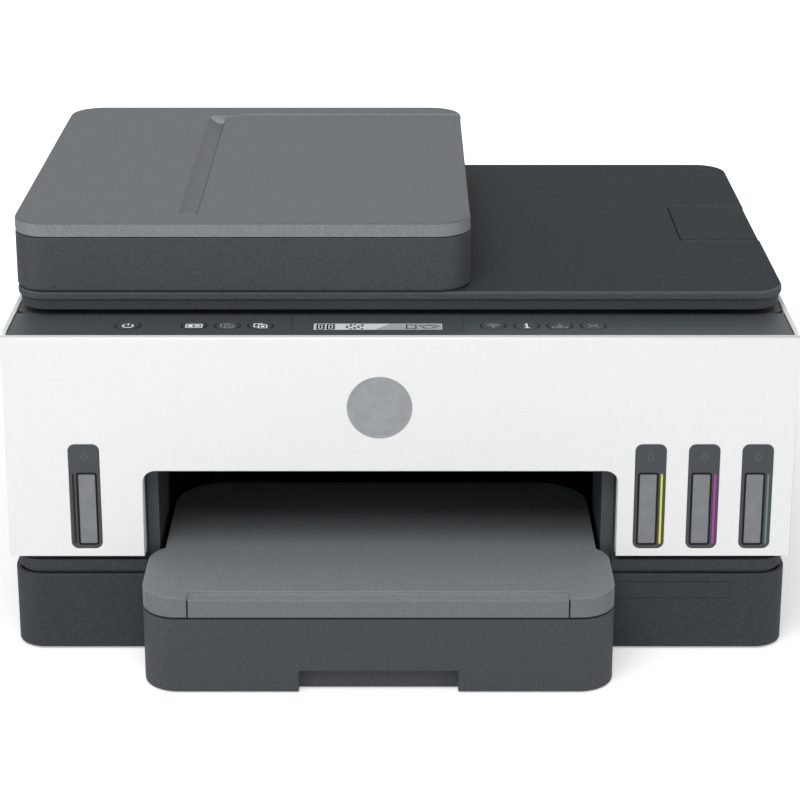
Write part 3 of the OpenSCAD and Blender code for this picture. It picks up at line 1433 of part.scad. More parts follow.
// ---- draw ----
base_tub();
feet();
mid_frame();
left_side_panel();
right_side_panel();
rear_cover();
control_deck();
display_module();
scanner_bed();
scanner_glass();
carriage_rod();
carriage_belt();
drive_motors();
platen();
service_station();
black_tank();
color_tanks();
ink_tubes();
power_supply();
main_board();
front_door();
tank_windows();
rear_door();
button_power();
button_card();
button_copy();
button_color();
button_wireless();
button_info();
button_resume();
button_cancel();
scan_carriage();
print_carriage();
printheads();
feed_roller();
eject_roller();
idler_gear();
motor_pinion();
pick_arm();
pick_roller();
cassette();
output_tray();
output_extender();
width_guide_left();
width_guide_right();
length_guide();
lid_frame();
lid_top();
lid_pad();
adf_base();
adf_cover();
document_tray();
adf_guide_front();
adf_guide_back();
adf_roller();
lid_flap();
cap_black();
cap_yellow();
cap_magenta();
cap_cyan();
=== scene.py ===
"""All-in-one ink tank printer: materials, finished pieces, floor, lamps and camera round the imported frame.

Lengths of the pieces are in mm, and MM turns them into the scene's metres. +X is right, +Y is back and
+Z is up.
Where faces are chosen, place is a face's centre in mm and way its normal."""
import json
import math

import bmesh
import bpy
from mathutils import Matrix, Vector


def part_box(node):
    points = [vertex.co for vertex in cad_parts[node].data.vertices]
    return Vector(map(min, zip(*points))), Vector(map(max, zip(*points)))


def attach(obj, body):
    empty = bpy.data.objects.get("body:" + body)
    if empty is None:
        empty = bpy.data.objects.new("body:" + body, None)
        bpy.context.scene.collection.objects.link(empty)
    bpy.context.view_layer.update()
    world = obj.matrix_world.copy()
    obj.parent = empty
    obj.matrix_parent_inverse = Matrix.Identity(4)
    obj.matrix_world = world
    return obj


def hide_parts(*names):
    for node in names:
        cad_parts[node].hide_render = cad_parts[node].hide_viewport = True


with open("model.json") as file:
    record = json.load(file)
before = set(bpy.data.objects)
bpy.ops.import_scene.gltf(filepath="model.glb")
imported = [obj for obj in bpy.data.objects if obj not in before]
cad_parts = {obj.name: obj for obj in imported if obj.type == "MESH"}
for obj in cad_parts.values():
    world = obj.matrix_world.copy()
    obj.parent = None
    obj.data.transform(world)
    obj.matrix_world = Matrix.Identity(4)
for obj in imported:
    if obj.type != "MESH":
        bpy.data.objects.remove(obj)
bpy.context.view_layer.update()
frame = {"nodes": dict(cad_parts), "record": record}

MM = 0.001
QUARTER = math.pi / 2
# an edge that turns by more than this belongs to the shape, and isn't a step of a curve
SHARP_DEG = 40
BODY_OF = {node: body for body, nodes in frame["record"]["behaviour"]["bodies"].items() for node in nodes}
# pieces fixed to the printer ride with this node
PRINTER = "base_tub"


def box_mm(node):
    """The low and the high corner of a node's box, in mm."""
    return [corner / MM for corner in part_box(node)]


# ---- colours and shader nodes ----

def linear(hex_colour):
    """An sRGB hex value as linear light with full alpha."""
    channels = [int(hex_colour[i:i + 2], 16) / 255 for i in (1, 3, 5)]
    return tuple(c / 12.92 if c <= 0.04045 else ((c + 0.055) / 1.055) ** 2.4 for c in channels) + (1.0,)


def add_node(tree, kind, settings=None, inputs=None):
    """One node with its settings and its inputs, each a plain value or another node's socket."""
    made = tree.nodes.new(kind)
    for key, value in (settings or {}).items():
        setattr(made, key, value)
    for key, value in (inputs or {}).items():
        if isinstance(value, bpy.types.NodeSocket):
            tree.links.new(value, made.inputs[key])
        else:
            made.inputs[key].default_value = value
    return made


def blank_material(name):
    """A material with nothing but its output node."""
    made = bpy.data.materials.new(name)
    made.use_nodes = True
    made.node_tree.nodes.clear()
    output = add_node(made.node_tree, "ShaderNodeOutputMaterial")
    return made, made.node_tree, output


def shade(tree, output, inputs):
    """The principled shader with these inputs, joined to the output."""
    shader = add_node(tree, "ShaderNodeBsdfPrincipled", None, inputs)
    tree.links.new(shader.outputs["BSDF"], output.inputs["Surface"])
    return shader


def noise(tree, size_mm, detail=2.0, roughness=0.5):
    """Noise whose blotches are about size_mm wide, fixed to the piece."""
    place = add_node(tree, "ShaderNodeTexCoord").outputs["Object"]
    made = add_node(tree, "ShaderNodeTexNoise", None, {
        "Vector": place, "Scale": 1 / (size_mm * MM), "Detail": detail, "Roughness": roughness})
    return made.outputs["Fac"]


def between(tree, factor, low, high):
    """A value that runs from low to high with the factor."""
    made = add_node(tree, "ShaderNodeMapRange", None, {"Value": factor, "To Min": low, "To Max": high})
    return made.outputs["Result"]


def colour_between(tree, factor, low, high):
    """A colour ramp between two hex values, over the middle part of the factor."""
    made = add_node(tree, "ShaderNodeValToRGB", None, {"Fac": factor})
    for end, position, colour in zip(made.color_ramp.elements, (0.3, 0.7), (low, high)):
        end.position = position
        end.color = linear(colour)
    return made.outputs["Color"]


def relief(tree, factor, depth_mm):
    """A bump of the given depth from a factor."""
    made = add_node(tree, "ShaderNodeBump", None, {
        "Height": factor, "Distance": depth_mm * MM, "Strength": 1.0})
    return made.outputs["Normal"]


# ---- finishes ----

# the pigment's cloudiness is a little finer than the grain
CLOUD_PER_GRAIN = 0.9
# grinding leaves streaks this many times longer than they are wide
STREAK_STRETCH = 12.0


def moulded(name, dark_hex, light_hex, gloss, grain_mm, grain_depth, ior=1.53, sheen_level=0.4):
    """Injection-moulded plastic with a spark-eroded grain.

    The real grain is 0.2 to 0.3 mm wide; it is drawn as coarse as a render needs to show it.
    The two hex values are the slight cloudiness of the pigment."""
    made, tree, output = blank_material(name)
    grain = noise(tree, grain_mm, 1.0)
    cloud = noise(tree, CLOUD_PER_GRAIN * grain_mm, 1.0)
    shade(tree, output, {
        "Base Color": colour_between(tree, cloud, dark_hex, light_hex),
        "Roughness": between(tree, grain, gloss - 0.05, gloss + 0.07),
        "IOR": ior,
        "Specular IOR Level": sheen_level,
        "Normal": relief(tree, grain, grain_depth),
    })
    return made


def ground_steel(name, hex_colour, gloss, streak_mm):
    """Steel or brass that was ground or turned, so fine streaks run round it."""
    made, tree, output = blank_material(name)
    place = add_node(tree, "ShaderNodeTexCoord").outputs["Object"]
    drawn = add_node(tree, "ShaderNodeMapping", None, {
        "Vector": place, "Scale": (1.0, STREAK_STRETCH, STREAK_STRETCH)}).outputs["Vector"]
    streak = add_node(tree, "ShaderNodeTexNoise", None, {
        "Vector": drawn, "Scale": 1 / (streak_mm * MM * STREAK_STRETCH), "Detail": 2.0}).outputs["Fac"]
    shade(tree, output, {
        "Base Color": linear(hex_colour),
        "Metallic": 1.0,
        "Roughness": between(tree, streak, gloss - 0.06, gloss + 0.1),
        "Normal": relief(tree, streak, 0.01),
    })
    return made


def soft_rubber(name, dark_hex, light_hex, gloss):
    """Vulcanised or moulded rubber: dull, with a dusty cloudiness."""
    made, tree, output = blank_material(name)
    dust = noise(tree, 1.4, 3.0, 0.65)
    shade(tree, output, {
        "Base Color": colour_between(tree, dust, dark_hex, light_hex),
        "Roughness": between(tree, dust, gloss - 0.06, gloss + 0.08),
        "IOR": 1.52,
        "Specular IOR Level": 0.35,
        "Normal": relief(tree, dust, 0.03),
    })
    return made


def clear_sheet(name, hex_colour, gloss, clearness):
    """Clear sheet that shows what lies behind it, with a faint smear of handling."""
    made, tree, output = blank_material(name)
    smear = noise(tree, 9.0, 3.0)
    shade(tree, output, {
        "Base Color": linear(hex_colour),
        "Transmission Weight": clearness,
        "Roughness": between(tree, smear, gloss, gloss + 0.05),
        "IOR": 1.5,
    })
    return made


def flat_print(name, hex_colour, gloss=0.6, glow=0.0):
    """Pad-printed ink, a film 0.02 mm thick with a slightly patchy gloss."""
    made, tree, output = blank_material(name)
    patch = noise(tree, 0.8)
    shade(tree, output, {
        "Base Color": linear(hex_colour),
        "Roughness": between(tree, patch, gloss - 0.05, gloss + 0.08),
        "Specular IOR Level": 0.3,
        "Emission Color": linear(hex_colour),
        "Emission Strength": glow,
    })
    return made


FINISH = {
    # ABS, charcoal pigment, fine spark grain: dull with a faint cool cast
    "charcoal": moulded("ABS_charcoal_spark_grain", "#33383b", "#464b4e", 0.55, 0.9, 0.05),
    # the same ABS on the document feeder's body
    "feeder": moulded("ABS_charcoal_feeder", "#2e3336", "#404548", 0.55, 0.9, 0.05),
    # the lower tub, a shade darker than the cassette; it also paints shade on the document tray's left edge
    # and on the bay trims' sides
    "charcoal_base": moulded("ABS_charcoal_base", "#2a2f32", "#3a3f42", 0.58, 0.9, 0.05, sheen_level=0.3),
    # the same ABS on the lid, with a dead matt texture
    "charcoal_lid": moulded("ABS_charcoal_lid", "#252a2d", "#363b3e", 0.65, 0.9, 0.05, sheen_level=0.08),
    # painted highlight: its rounded top edge is painted brighter than the faces
    "lid_edge_highlight": moulded("ABS_charcoal_painted_edge_highlight", "#6b7073", "#74797c", 0.42, 0.9, 0.02),
    # the same ABS on the control panel, with a brighter satin skin
    "deck": moulded("ABS_control_panel", "#3f4548", "#4f5558", 0.5, 0.8, 0.04),
    # neck under the front panel, and the lid's lower shell
    "neck": moulded("ABS_charcoal_neck", "#2e3336", "#3e4346", 0.6, 0.9, 0.04, sheen_level=0.3),
    # frame inside the machine, a dark charcoal
    "inside": moulded("ABS_inner_frame", "#3d4244", "#474c4e", 0.6, 1.0, 0.03, sheen_level=0.3),
    # ABS, near-black, used inside where light is kept out
    "black": moulded("ABS_black_matt", "#1d1f21", "#232527", 0.6, 1.1, 0.03, sheen_level=0.3),
    # ABS, white pigment with a shallow dimple grain
    "white": moulded("ABS_white_dimple_grain", "#eff1f1", "#f3f5f4", 0.5, 0.9, 0.04),
    # ABS, mid grey, satin: the feeder cover and the document tray folded into it
    "grey_cover": moulded("ABS_grey_feeder_cover", "#565b5e", "#6a6f72", 0.52, 0.9, 0.04, sheen_level=0.25),
    # the output tray; on the feeder cover's upright faces and the document tray's front edge it is painted
    # light
    "grey_tray": moulded("ABS_grey_tray", "#73787b", "#868b8e", 0.52, 0.9, 0.04),
    # the output tray's upright front, a little glossier than its top and painted darker as shade
    "grey_front": moulded("ABS_grey_tray_front", "#64696c", "#757a7d", 0.5, 0.9, 0.04),
    # the feeder cover's finger scoop, painted darker than the cover as shade in the hollow
    "grey_scoop": moulded("ABS_grey_scoop_painted_shade", "#575c5f", "#676c6f", 0.5, 0.9, 0.04),
    # painted highlight on edges of the feeder cover's opening: the back of its scoop and a strip behind the
    # document tray
    "grey_painted_highlight": moulded("ABS_grey_painted_highlight", "#a0a5a8", "#a9aeb1", 0.45, 0.9, 0.02),
    # upright trims of the bay, painted paler than the charcoal as lit faces
    "trim": moulded("ABS_bay_trim_painted_light", "#4e5457", "#555b5e", 0.55, 0.9, 0.03),
    # polystyrene, high-gloss black, polished tool
    "gloss_black": moulded("PS_black_polished", "#22262a", "#272b2f", 0.22, 3.0, 0.004,
                           ior=1.59, sheen_level=0.5),
    # window frames, satin; also painted shade in the deepest strip of the feeder cover's scoop
    "frame": moulded("ABS_frame_satin", "#404548", "#464b4e", 0.5, 0.8, 0.02),
    # smoked polystyrene level slots, their pale colour painting the light from the pale inside of the tank
    # behind them
    "smoke": moulded("PS_smoke_level_slot", "#797d80", "#818588", 0.3, 6.0, 0.01, ior=1.59, sheen_level=0.5),
    # satin metallised foil of the blank round badge
    "foil": moulded("Foil_satin_grey", "#94989a", "#9da1a3", 0.34, 5.0, 0.004, ior=1.6, sheen_level=0.6),
    # polypropylene tanks, semi-clear over dark ink
    "tank": moulded("PP_tank_smoke", "#34383b", "#3c4043", 0.35, 4.0, 0.02, ior=1.49, sheen_level=0.5),
    # acetal gears, natural white and slightly waxy
    "acetal": moulded("POM_natural_gear", "#dcdcd2", "#e4e4da", 0.38, 2.0, 0.01, ior=1.48),
    # glass-epoxy circuit board with green resist
    "board": moulded("FR4_green_resist", "#1d5a3c", "#246a48", 0.35, 3.0, 0.02, ior=1.55),
    # PVC ink tube
    "tube": moulded("PVC_tube_black", "#191b1d", "#202224", 0.35, 3.0, 0.01, ior=1.54),
    # PET film over foam
    "pad": moulded("PET_film_white", "#eff1f0", "#f5f6f5", 0.35, 6.0, 0.02, ior=1.57),
    # bright shafts, duller plated cans and screws, and the motor's turned pinion
    "steel": ground_steel("Steel_ground_shaft", "#c2c4c6", 0.22, 0.5),
    "zinc": ground_steel("Steel_zinc_plated", "#a9adb1", 0.34, 1.2),
    "brass": ground_steel("Brass_turned", "#c9a75a", 0.26, 0.6),
    # moulded elastomer of feet, caps and belts
    "elastomer": soft_rubber("TPE_black", "#1c1e20", "#25272a", 0.72),
    # near-black soft film: a seal round each level slot, and painted shade deep in the joints, where hardly
    # any light returns
    "seal_and_joint_shade": soft_rubber("EPDM_sponge_seal", "#08090a", "#0e0f10", 0.9),
    # EPDM roller covers, ground to size
    "epdm": soft_rubber("EPDM_roller_grey", "#2e3133", "#393c3f", 0.78),
    # roller cover of the feeder, a shade paler
    "feeder_epdm": soft_rubber("EPDM_feeder_roller", "#3c4043", "#484c4f", 0.8),
    # float glass, clear with a faint green
    "glass": clear_sheet("Glass_float", "#e4efe9", 0.02, 0.9),
    # prints: lit signs, unlit signs, marks pressed into a dark part; the mark grey also paints highlights on
    # the paper stop's edges
    "print_white": flat_print("Print_white", "#f2f5f6", 0.6, 0.25),
    "print_dim": flat_print("Print_dim_grey", "#9fa5a8"),
    "mark_and_highlight_grey": flat_print("Print_mark_and_painted_highlight_grey", "#5d6265"),
    # wet ink seen from outside; the yellow, magenta and cyan carry a faint painted glow
    "ink_black": flat_print("Ink_black", "#17191b", 0.3),
    "ink_yellow": flat_print("Ink_yellow", "#dfd93a", 0.35, 0.08),
    "ink_magenta": flat_print("Ink_magenta", "#b835a6", 0.35, 0.08),
    "ink_cyan": flat_print("Ink_cyan_pale", "#6d8086", 0.3, 0.05),
    # the display's lit ground, its half tone and its dark segments
    "lcd_lit": flat_print("LCD_lit", "#dfe4e6", 0.25, 0.15),
    "lcd_shade": flat_print("LCD_half_tone", "#b4babd", 0.25, 0.1),
    "lcd_dark": flat_print("LCD_segment", "#2b3033", 0.25),
}


# ---- making pieces ----

# corners nearer than this are one corner, and faces that differ by less are one flat face
WELD_MM = 0.004
FLAT_DEG = 0.5


def paint(mesh, finish):
    """Gives a whole mesh one finish."""
    mesh.materials.clear()
    mesh.materials.append(FINISH[finish])


def new_piece(name, mesh, node, finish):
    """A piece at the origin that rides with a node and has this finish."""
    made = bpy.data.objects.new(name, mesh)
    bpy.context.scene.collection.objects.link(made)
    paint(mesh, finish)
    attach(made, BODY_OF[node])
    return made


def mesh_from(name, bm):
    """A mesh from bmesh data, with its normals pointing outwards."""
    bmesh.ops.recalc_face_normals(bm, faces=bm.faces)
    mesh = bpy.data.meshes.new(name)
    bm.to_mesh(mesh)
    bm.free()
    return mesh


def merged_copy(node):
    """A copy of a CAD node's mesh with its loose triangles joined into flat faces."""
    bm = bmesh.new()
    bm.from_mesh(frame["nodes"][node].data)
    bmesh.ops.remove_doubles(bm, verts=bm.verts, dist=WELD_MM * MM)
    bmesh.ops.dissolve_limit(bm, angle_limit=math.radians(FLAT_DEG), verts=bm.verts, edges=bm.edges)
    mesh = bpy.data.meshes.new(node + "_eased")
    bm.to_mesh(mesh)
    bm.free()
    if "custom_normal" in mesh.attributes:
        mesh.attributes.remove(mesh.attributes["custom_normal"])
    mesh.shade_smooth()
    mesh.set_sharp_from_angle(angle=math.radians(SHARP_DEG))
    return mesh


def round_edges(made, ease_mm, chosen=None, steps=2):
    """Rounds a piece's sharp edges, as a moulding tool leaves them.

    chosen(place) gives the share of the rounding at a place, and an edge takes the lesser share of its
    two ends; without it every sharp edge is rounded."""
    bm = bmesh.new()
    bm.from_mesh(made.data)
    weight = bm.edges.layers.float.new("bevel_weight_edge")
    for edge in bm.edges:
        sharp = len(edge.link_faces) == 2 and edge.calc_face_angle() > math.radians(SHARP_DEG)
        share = min(chosen(v.co / MM) for v in edge.verts) if chosen and sharp else 1
        edge[weight] = float(sharp and share)
    bm.to_mesh(made.data)
    bm.free()
    rounding = made.modifiers.new("eased edges", "BEVEL")
    rounding.width = ease_mm * MM
    rounding.segments = steps
    rounding.limit_method = "WEIGHT"
    rounding.use_clamp_overlap = False
    rounding.harden_normals = True
    rounding.miter_outer = "MITER_ARC"


def eased(node, finish, ease_mm, piece_name, chosen=None, steps=2):
    """A node's own shape with its sharp edges rounded."""
    made = new_piece(piece_name, merged_copy(node), node, finish)
    if ease_mm:
        round_edges(made, ease_mm, chosen, steps)
    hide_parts(node)


def cut_across(name, spot, way):
    """Adds edges where a plane cuts a piece, so that a finish can stop there."""
    mesh = bpy.data.objects[name].data
    bm = bmesh.new()
    bm.from_mesh(mesh)
    bmesh.ops.bisect_plane(bm, geom=bm.verts[:] + bm.edges[:] + bm.faces[:],
                           plane_co=Vector(spot) * MM, plane_no=way)
    bm.to_mesh(mesh)
    bm.free()


def second_finish(name, finish, chosen):
    """Gives the faces that chosen(place, way) picks a finish of their own."""
    mesh = bpy.data.objects[name].data
    mesh.materials.append(FINISH[finish])
    index = len(mesh.materials) - 1
    for face in mesh.polygons:
        if chosen(face.center / MM, face.normal):
            face.material_index = index


def upright(place, way):
    """Picks faces that look sideways more than up or down."""
    return abs(way.z) < 0.5


# ---- covers: the nodes' own shapes with eased edges ----

def door_rounding(place):
    """The door's top edge is rounded over almost its whole thickness, its other front edges slightly."""
    top_edge, front_face = 186.5, -127.7
    return (1 if place.z > top_edge else 0.2) * (place.y < front_face)


# node: (finish, rounding of its edges, the piece's name, share of the rounding, steps of the rounding)
COVERS = {
    "base_tub": ("charcoal_base", 0.5, "lower_tub"),
    "mid_frame": ("inside", 0, "inner_frame"),
    "left_side_panel": ("white", 0.5, "left_side_cover"),
    "right_side_panel": ("white", 0.5, "right_side_cover"),
    "control_deck": ("deck", 0.3, "control_panel"),
    "scanner_bed": ("charcoal", 0.4, "scanner_top"),
    "front_door": ("white", 2.3, "tank_door", door_rounding, 4),
    "rear_door": ("charcoal", 0.4, "jam_door"),
    "cassette": ("charcoal", 0.6, "paper_cassette"),
    "output_tray": ("grey_tray", 0.5, "paper_output_tray"),
    "output_extender": ("grey_tray", 0.4, "tray_extender"),
    "lid_frame": ("neck", 0.5, "lid_lower_shell"),
    "lid_top": ("charcoal_lid", 0.6, "lid_upper_shell"),
    "lid_flap": ("charcoal_lid", 0.7, "paper_stop"),
    "adf_base": ("feeder", 0.5, "feeder_body"),
    "adf_cover": ("grey_cover", 0.3, "feeder_cover_shell"),
    "document_tray": ("grey_cover", 0.4, "document_tray_plate"),
    "black_tank": ("tank", 0.6, "black_ink_tank"),
    "color_tanks": ("tank", 0.6, "colour_ink_tanks"),
    "print_carriage": ("charcoal", 0.5, "head_carriage"),
    "scan_carriage": ("black", 0.5, "scan_bar_housing"),
    "main_board": ("board", 0.1, "main_circuit_board"),
}
for node, details in COVERS.items():
    eased(node, *details)

# nodes that keep their own mesh, by finish
KEPT = {
    "black": ["service_station", "platen", "width_guide_left", "width_guide_right", "length_guide",
              "adf_guide_front", "adf_guide_back", "pick_arm"],
    "elastomer": ["feet", "carriage_belt", "cap_black", "cap_yellow", "cap_magenta", "cap_cyan",
                  "pick_roller"],
    "feeder_epdm": ["adf_roller"],
    "epdm": ["feed_roller", "eject_roller"],
    "deck": ["display_module"] + ["button_" + key for key in (
        "power", "card", "copy", "color", "wireless", "info", "resume", "cancel")],
    "frame": ["printheads"],
    "gloss_black": ["power_supply"],
    "tube": ["ink_tubes"],
    "glass": ["scanner_glass"],
    "steel": ["carriage_rod"],
    "zinc": ["drive_motors"],
    "brass": ["motor_pinion"],
    "acetal": ["idler_gear"],
    "pad": ["lid_pad"],
}
for finish, nodes in KEPT.items():
    for node in nodes:
        paint(frame["nodes"][node].data, finish)


# ---- second finishes of the covers ----

# front edge of the bay's side trims
TRIM_FRONT = -110.0


def frame_finishes():
    """The neck under the front panel and the front of the bay's cheeks have the outer skin's texture."""
    neck_low, neck_high = 47.4, 54.2
    cheek_low, cheek_high = 56, 108
    second_finish("inner_frame", "neck", lambda place, way: neck_low < place.z < neck_high)
    cut_across("inner_frame", (0, TRIM_FRONT, 0), (0, 1, 0))
    second_finish("inner_frame", "charcoal", lambda place, way: (
        place.y < TRIM_FRONT and abs(way.x) > 0.9 and cheek_low < place.z < cheek_high))


def lid_finishes():
    """The lid's upright faces are less matt than its top, and the edge between them is painted brighter as a
    highlight.
    """
    above_its_foot = 200
    second_finish("lid_upper_shell", "charcoal", upright)
    second_finish("lid_upper_shell", "lid_edge_highlight", lambda place, way: (
        0.3 < way.z < 0.96 and place.z > above_its_foot))


def side_joint_shades():
    """Painted shade: dark strips where the control panel and the scanner's top meet the side covers."""
    outer_side = 214.43
    for piece_name, joint in (("control_panel", 0.7), ("scanner_top", 0.6)):
        side = outer_side - joint
        for x in (side, -side):
            cut_across(piece_name, (x, 0, 0), (1, 0, 0))
        second_finish(piece_name, "seal_and_joint_shade", lambda place, way: abs(place.x) > side and way.z > 0.3)


def feeder_cover_finishes():
    """The feeder cover's upright faces are painted paler than its top as lit faces, and a finger scoop
    beside the document tray in it is painted darker as shade.
    """
    tray_low, tray_high = box_mm("document_tray")
    cover, tray = "feeder_cover_shell", "document_tray_plate"
    # painted light: the cover's upright faces are paler than its top
    second_finish(cover, "grey_tray", upright)
    # painted shade on the tray's left edge, which lies in the scoop's shade, and a painted highlight on its
    # front edge
    shaded = tray_low.x + 0.45
    cut_across(tray, (shaded, 0, 0), (1, 0, 0))
    second_finish(tray, "charcoal_base", lambda place, way: place.x < shaded)
    second_finish(tray, "grey_tray", lambda place, way: way.y < -0.35 and place.x > shaded)
    # a narrow strip of the cover behind the tray, from the tray's rounded corner on, for a painted highlight
    strip_left, strip_front, strip_back = tray_low.x + 9, tray_high.y + 0.35, tray_high.y + 1.4
    cut_across(cover, (strip_left, 0, 0), (1, 0, 0))
    for y in (strip_front, strip_back):
        cut_across(cover, (0, y, 0), (0, 1, 0))
    scoop_left, scoop_right, scoop_deepest, rim = -128, -112.5, -114.3, 241.1
    shade_top, shade_back = 238, tray_high.y - 14
    corner_right, corner_front, corner_foot = -98, tray_high.y - 7.5, 235
    # painted shade: the scoop is darker than the cover
    second_finish(cover, "grey_scoop", lambda place, way: (
        way.z > 0.2 and scoop_left < place.x < scoop_right and place.z < rim))
    # painted shade: the scoop's deepest strip beside the tray is darker still
    second_finish(cover, "frame", lambda place, way: (
        way.z > 0.2 and scoop_deepest < place.x < scoop_right and place.z < shade_top
        and place.y < shade_back))
    # painted highlight: the back of the scoop and the strip behind the tray face the light and are painted
    # bright
    second_finish(cover, "grey_painted_highlight", lambda place, way: (
        scoop_left < place.x < corner_right and place.y > corner_front
        and abs(way.z) < 0.97 and corner_foot < place.z < rim) or (
        way.z > 0.9 and strip_front < place.y < strip_back and place.x > strip_left))


def tray_fronts():
    """The upright fronts of the output tray and its extender, painted darker as shade."""
    tray_step = 55.5
    for piece_name in ("paper_output_tray", "tray_extender"):
        second_finish(piece_name, "grey_front", lambda place, way: way.y < -0.5 and place.z < tray_step)


def board_sockets():
    """The sockets at the back end of the main board are metal cans."""
    board_end = 162.5
    second_finish("main_circuit_board", "zinc", lambda place, way: place.y > board_end)


frame_finishes()
lid_finishes()
side_joint_shades()
feeder_cover_finishes()
tray_fronts()
board_sockets()


# ---- windows of the ink tanks ----

INKS = ("black", "yellow", "magenta", "cyan")
# middles of the windows and of the level slots in them
WINDOW_XS = (-174.3, 138.3, 167.75, 197.2)
SLOT_XS = tuple(x - math.copysign(1.1, x) for x in WINDOW_XS)
SLOT_HALF = 5.0
SLOT_Z = (64.4, 106.3)


def window_inserts():
    """The windows' frames, and in them the clear level slots with the dark groove round each."""
    rounded_front = -127.1
    eased("tank_windows", "frame", 0.3, "window_frames", lambda place: place.y < rounded_front)
    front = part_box("tank_windows")[0].y / MM
    slot_face, groove_floor = front + 0.1, front + 0.3
    reach, beyond = SLOT_HALF + 0.75, 0.7

    def in_slot(place):
        across = any(abs(place.x - x) < reach for x in SLOT_XS)
        return across and SLOT_Z[0] - beyond < place.z < SLOT_Z[1] + beyond
    second_finish("window_frames", "black", lambda place, way: in_slot(place) and place.y > groove_floor)
    second_finish("window_frames", "smoke", lambda place, way: (
        in_slot(place) and slot_face < place.y < groove_floor))


# ---- drawn signs: outlines laid as thin films on a surface ----

def on_top(x, y, z, scale=1.0):
    """Places a sign on an upward face: its u runs along +X and its v along +Y."""
    return lambda u, v, w: Vector((x + u * scale, y + v * scale, z + w)) * MM


def on_front(x, y, z):
    """Places a sign on a face that looks to the front: its u runs along +X and its v upward."""
    return lambda u, v, w: Vector((x + u, y - w, z + v)) * MM


def film(bm, outline, place, low=0.0, high=0.05):
    """A thin plate with this outline, in mm on its surface."""
    under = [bm.verts.new(place(u, v, low)) for u, v in outline]
    over = [bm.verts.new(place(u, v, high)) for u, v in outline]
    bm.faces.new(under)
    bm.faces.new(over)
    for i in range(len(outline)):
        j = (i + 1) % len(outline)
        bm.faces.new((under[i], under[j], over[j], over[i]))


def line(bm, points, width, place, closed=False, high=0.05):
    """A drawn line of even width through the points, with mitred corners."""
    count = len(points)
    sides = []
    for i, (u, v) in enumerate(points):
        before = Vector(points[i - 1]) if closed or i else None
        after = Vector(points[(i + 1) % count]) if closed or i < count - 1 else None
        here = Vector((u, v))
        legs = (here - before if before else None, after - here if after else None)
        ways = [leg.normalized() for leg in legs if leg]
        along = sum(ways, Vector((0, 0))).normalized()
        across = Vector((-along.y, along.x))
        reach = width / 2 / max(0.4, abs(across.dot(Vector((-ways[0].y, ways[0].x)))))
        sides.append((here + across * reach, here - across * reach))
    for i in range(count if closed else count - 1):
        (a, b), (c, d) = sides[i], sides[(i + 1) % count]
        film(bm, [tuple(a), tuple(b), tuple(d), tuple(c)], place, high=high)


def arc(radius, start_deg, stop_deg, steps, centre=(0, 0)):
    """Points on an arc, in mm."""
    turns = [math.radians(start_deg + (stop_deg - start_deg) * i / steps) for i in range(steps + 1)]
    return [(centre[0] + radius * math.cos(t), centre[1] + radius * math.sin(t)) for t in turns]


def box_outline(u0, v0, u1, v1):
    """A rectangle between two corners."""
    return [(u0, v0), (u1, v0), (u1, v1), (u0, v1)]


def rounded_outline(half_wide, half_tall, radius):
    """A rectangle with rounded corners, about the middle, in mm."""
    outline = []
    for turn, u, v in ((0, 1, 1), (90, -1, 1), (180, -1, -1), (270, 1, -1)):
        outline += arc(radius, turn, turn + 90, 4, (u * (half_wide - radius), v * (half_tall - radius)))
    return outline


def sign(name, node, finish, draw):
    """A printed sign as a piece of its own; draw fills its mesh."""
    bm = bmesh.new()
    draw(bm)
    new_piece(name, mesh_from(name, bm), node, finish)


def draw_power(bm, place):
    """A ring open at the top with a stroke in the gap."""
    line(bm, arc(2.4, 125, 415, 18), 0.62, place)
    line(bm, [(0, 0.6), (0, 3.3)], 0.62, place)


def draw_card(bm, place):
    """A card with a filled field and three lines."""
    line(bm, box_outline(-3.6, -2.3, 3.6, 2.3), 0.5, place, closed=True)
    film(bm, box_outline(-2.7, -1.3, -0.6, 1.3), place)
    for v in (-0.9, 0.1, 1.1):
        line(bm, [(0.2, v), (2.7, v)], 0.5, place)


def draw_sheets(bm, place, filled):
    """Two sheets, the front one with a filled spot or with two lines."""
    line(bm, [(-0.9, -1.6), (-3.0, -1.6), (-3.0, 2.9), (0.6, 2.9), (0.6, 2.3)], 0.5, place)
    line(bm, [(-0.9, -2.9), (2.9, -2.9), (2.9, 0.7), (1.7, 1.8), (-0.9, 1.8)], 0.5, place, closed=True)
    if filled:
        film(bm, arc(0.95, 0, 330, 11, (1.0, -0.8)), place)
    else:
        for v in (-1.7, -0.5):
            line(bm, [(0.0, v), (2.0, v)], 0.45, place)


def draw_wireless(bm, place):
    """Three arcs over a spot."""
    for radius in (1.7, 3.2, 4.7):
        line(bm, arc(radius, 48, 132, 8, (0, -2.2)), 0.55, place)
    film(bm, arc(0.6, 0, 330, 11, (0, -2.0)), place)


def draw_info(bm, place):
    """A small letter i with a foot."""
    film(bm, arc(0.62, 0, 330, 11, (0, 2.5)), place)
    line(bm, [(-0.9, 1.1), (0.15, 1.1), (0.15, -2.4)], 0.7, place)
    line(bm, [(-1.1, -2.6), (1.3, -2.6)], 0.6, place)


def draw_resume(bm, place):
    """An arrow down into an open tray."""
    line(bm, [(0, 3.0), (0, -1.0)], 0.5, place)
    line(bm, [(-1.7, 0.6), (0, -1.2), (1.7, 0.6)], 0.5, place)
    line(bm, [(-3.3, -0.6), (-3.3, -2.6), (3.3, -2.6), (3.3, -0.6)], 0.5, place)


def draw_cancel(bm, place):
    """A cross of two strokes."""
    line(bm, [(-2.4, -2.2), (2.4, 2.2)], 0.5, place)
    line(bm, [(-2.4, 2.2), (2.4, -2.2)], 0.5, place)


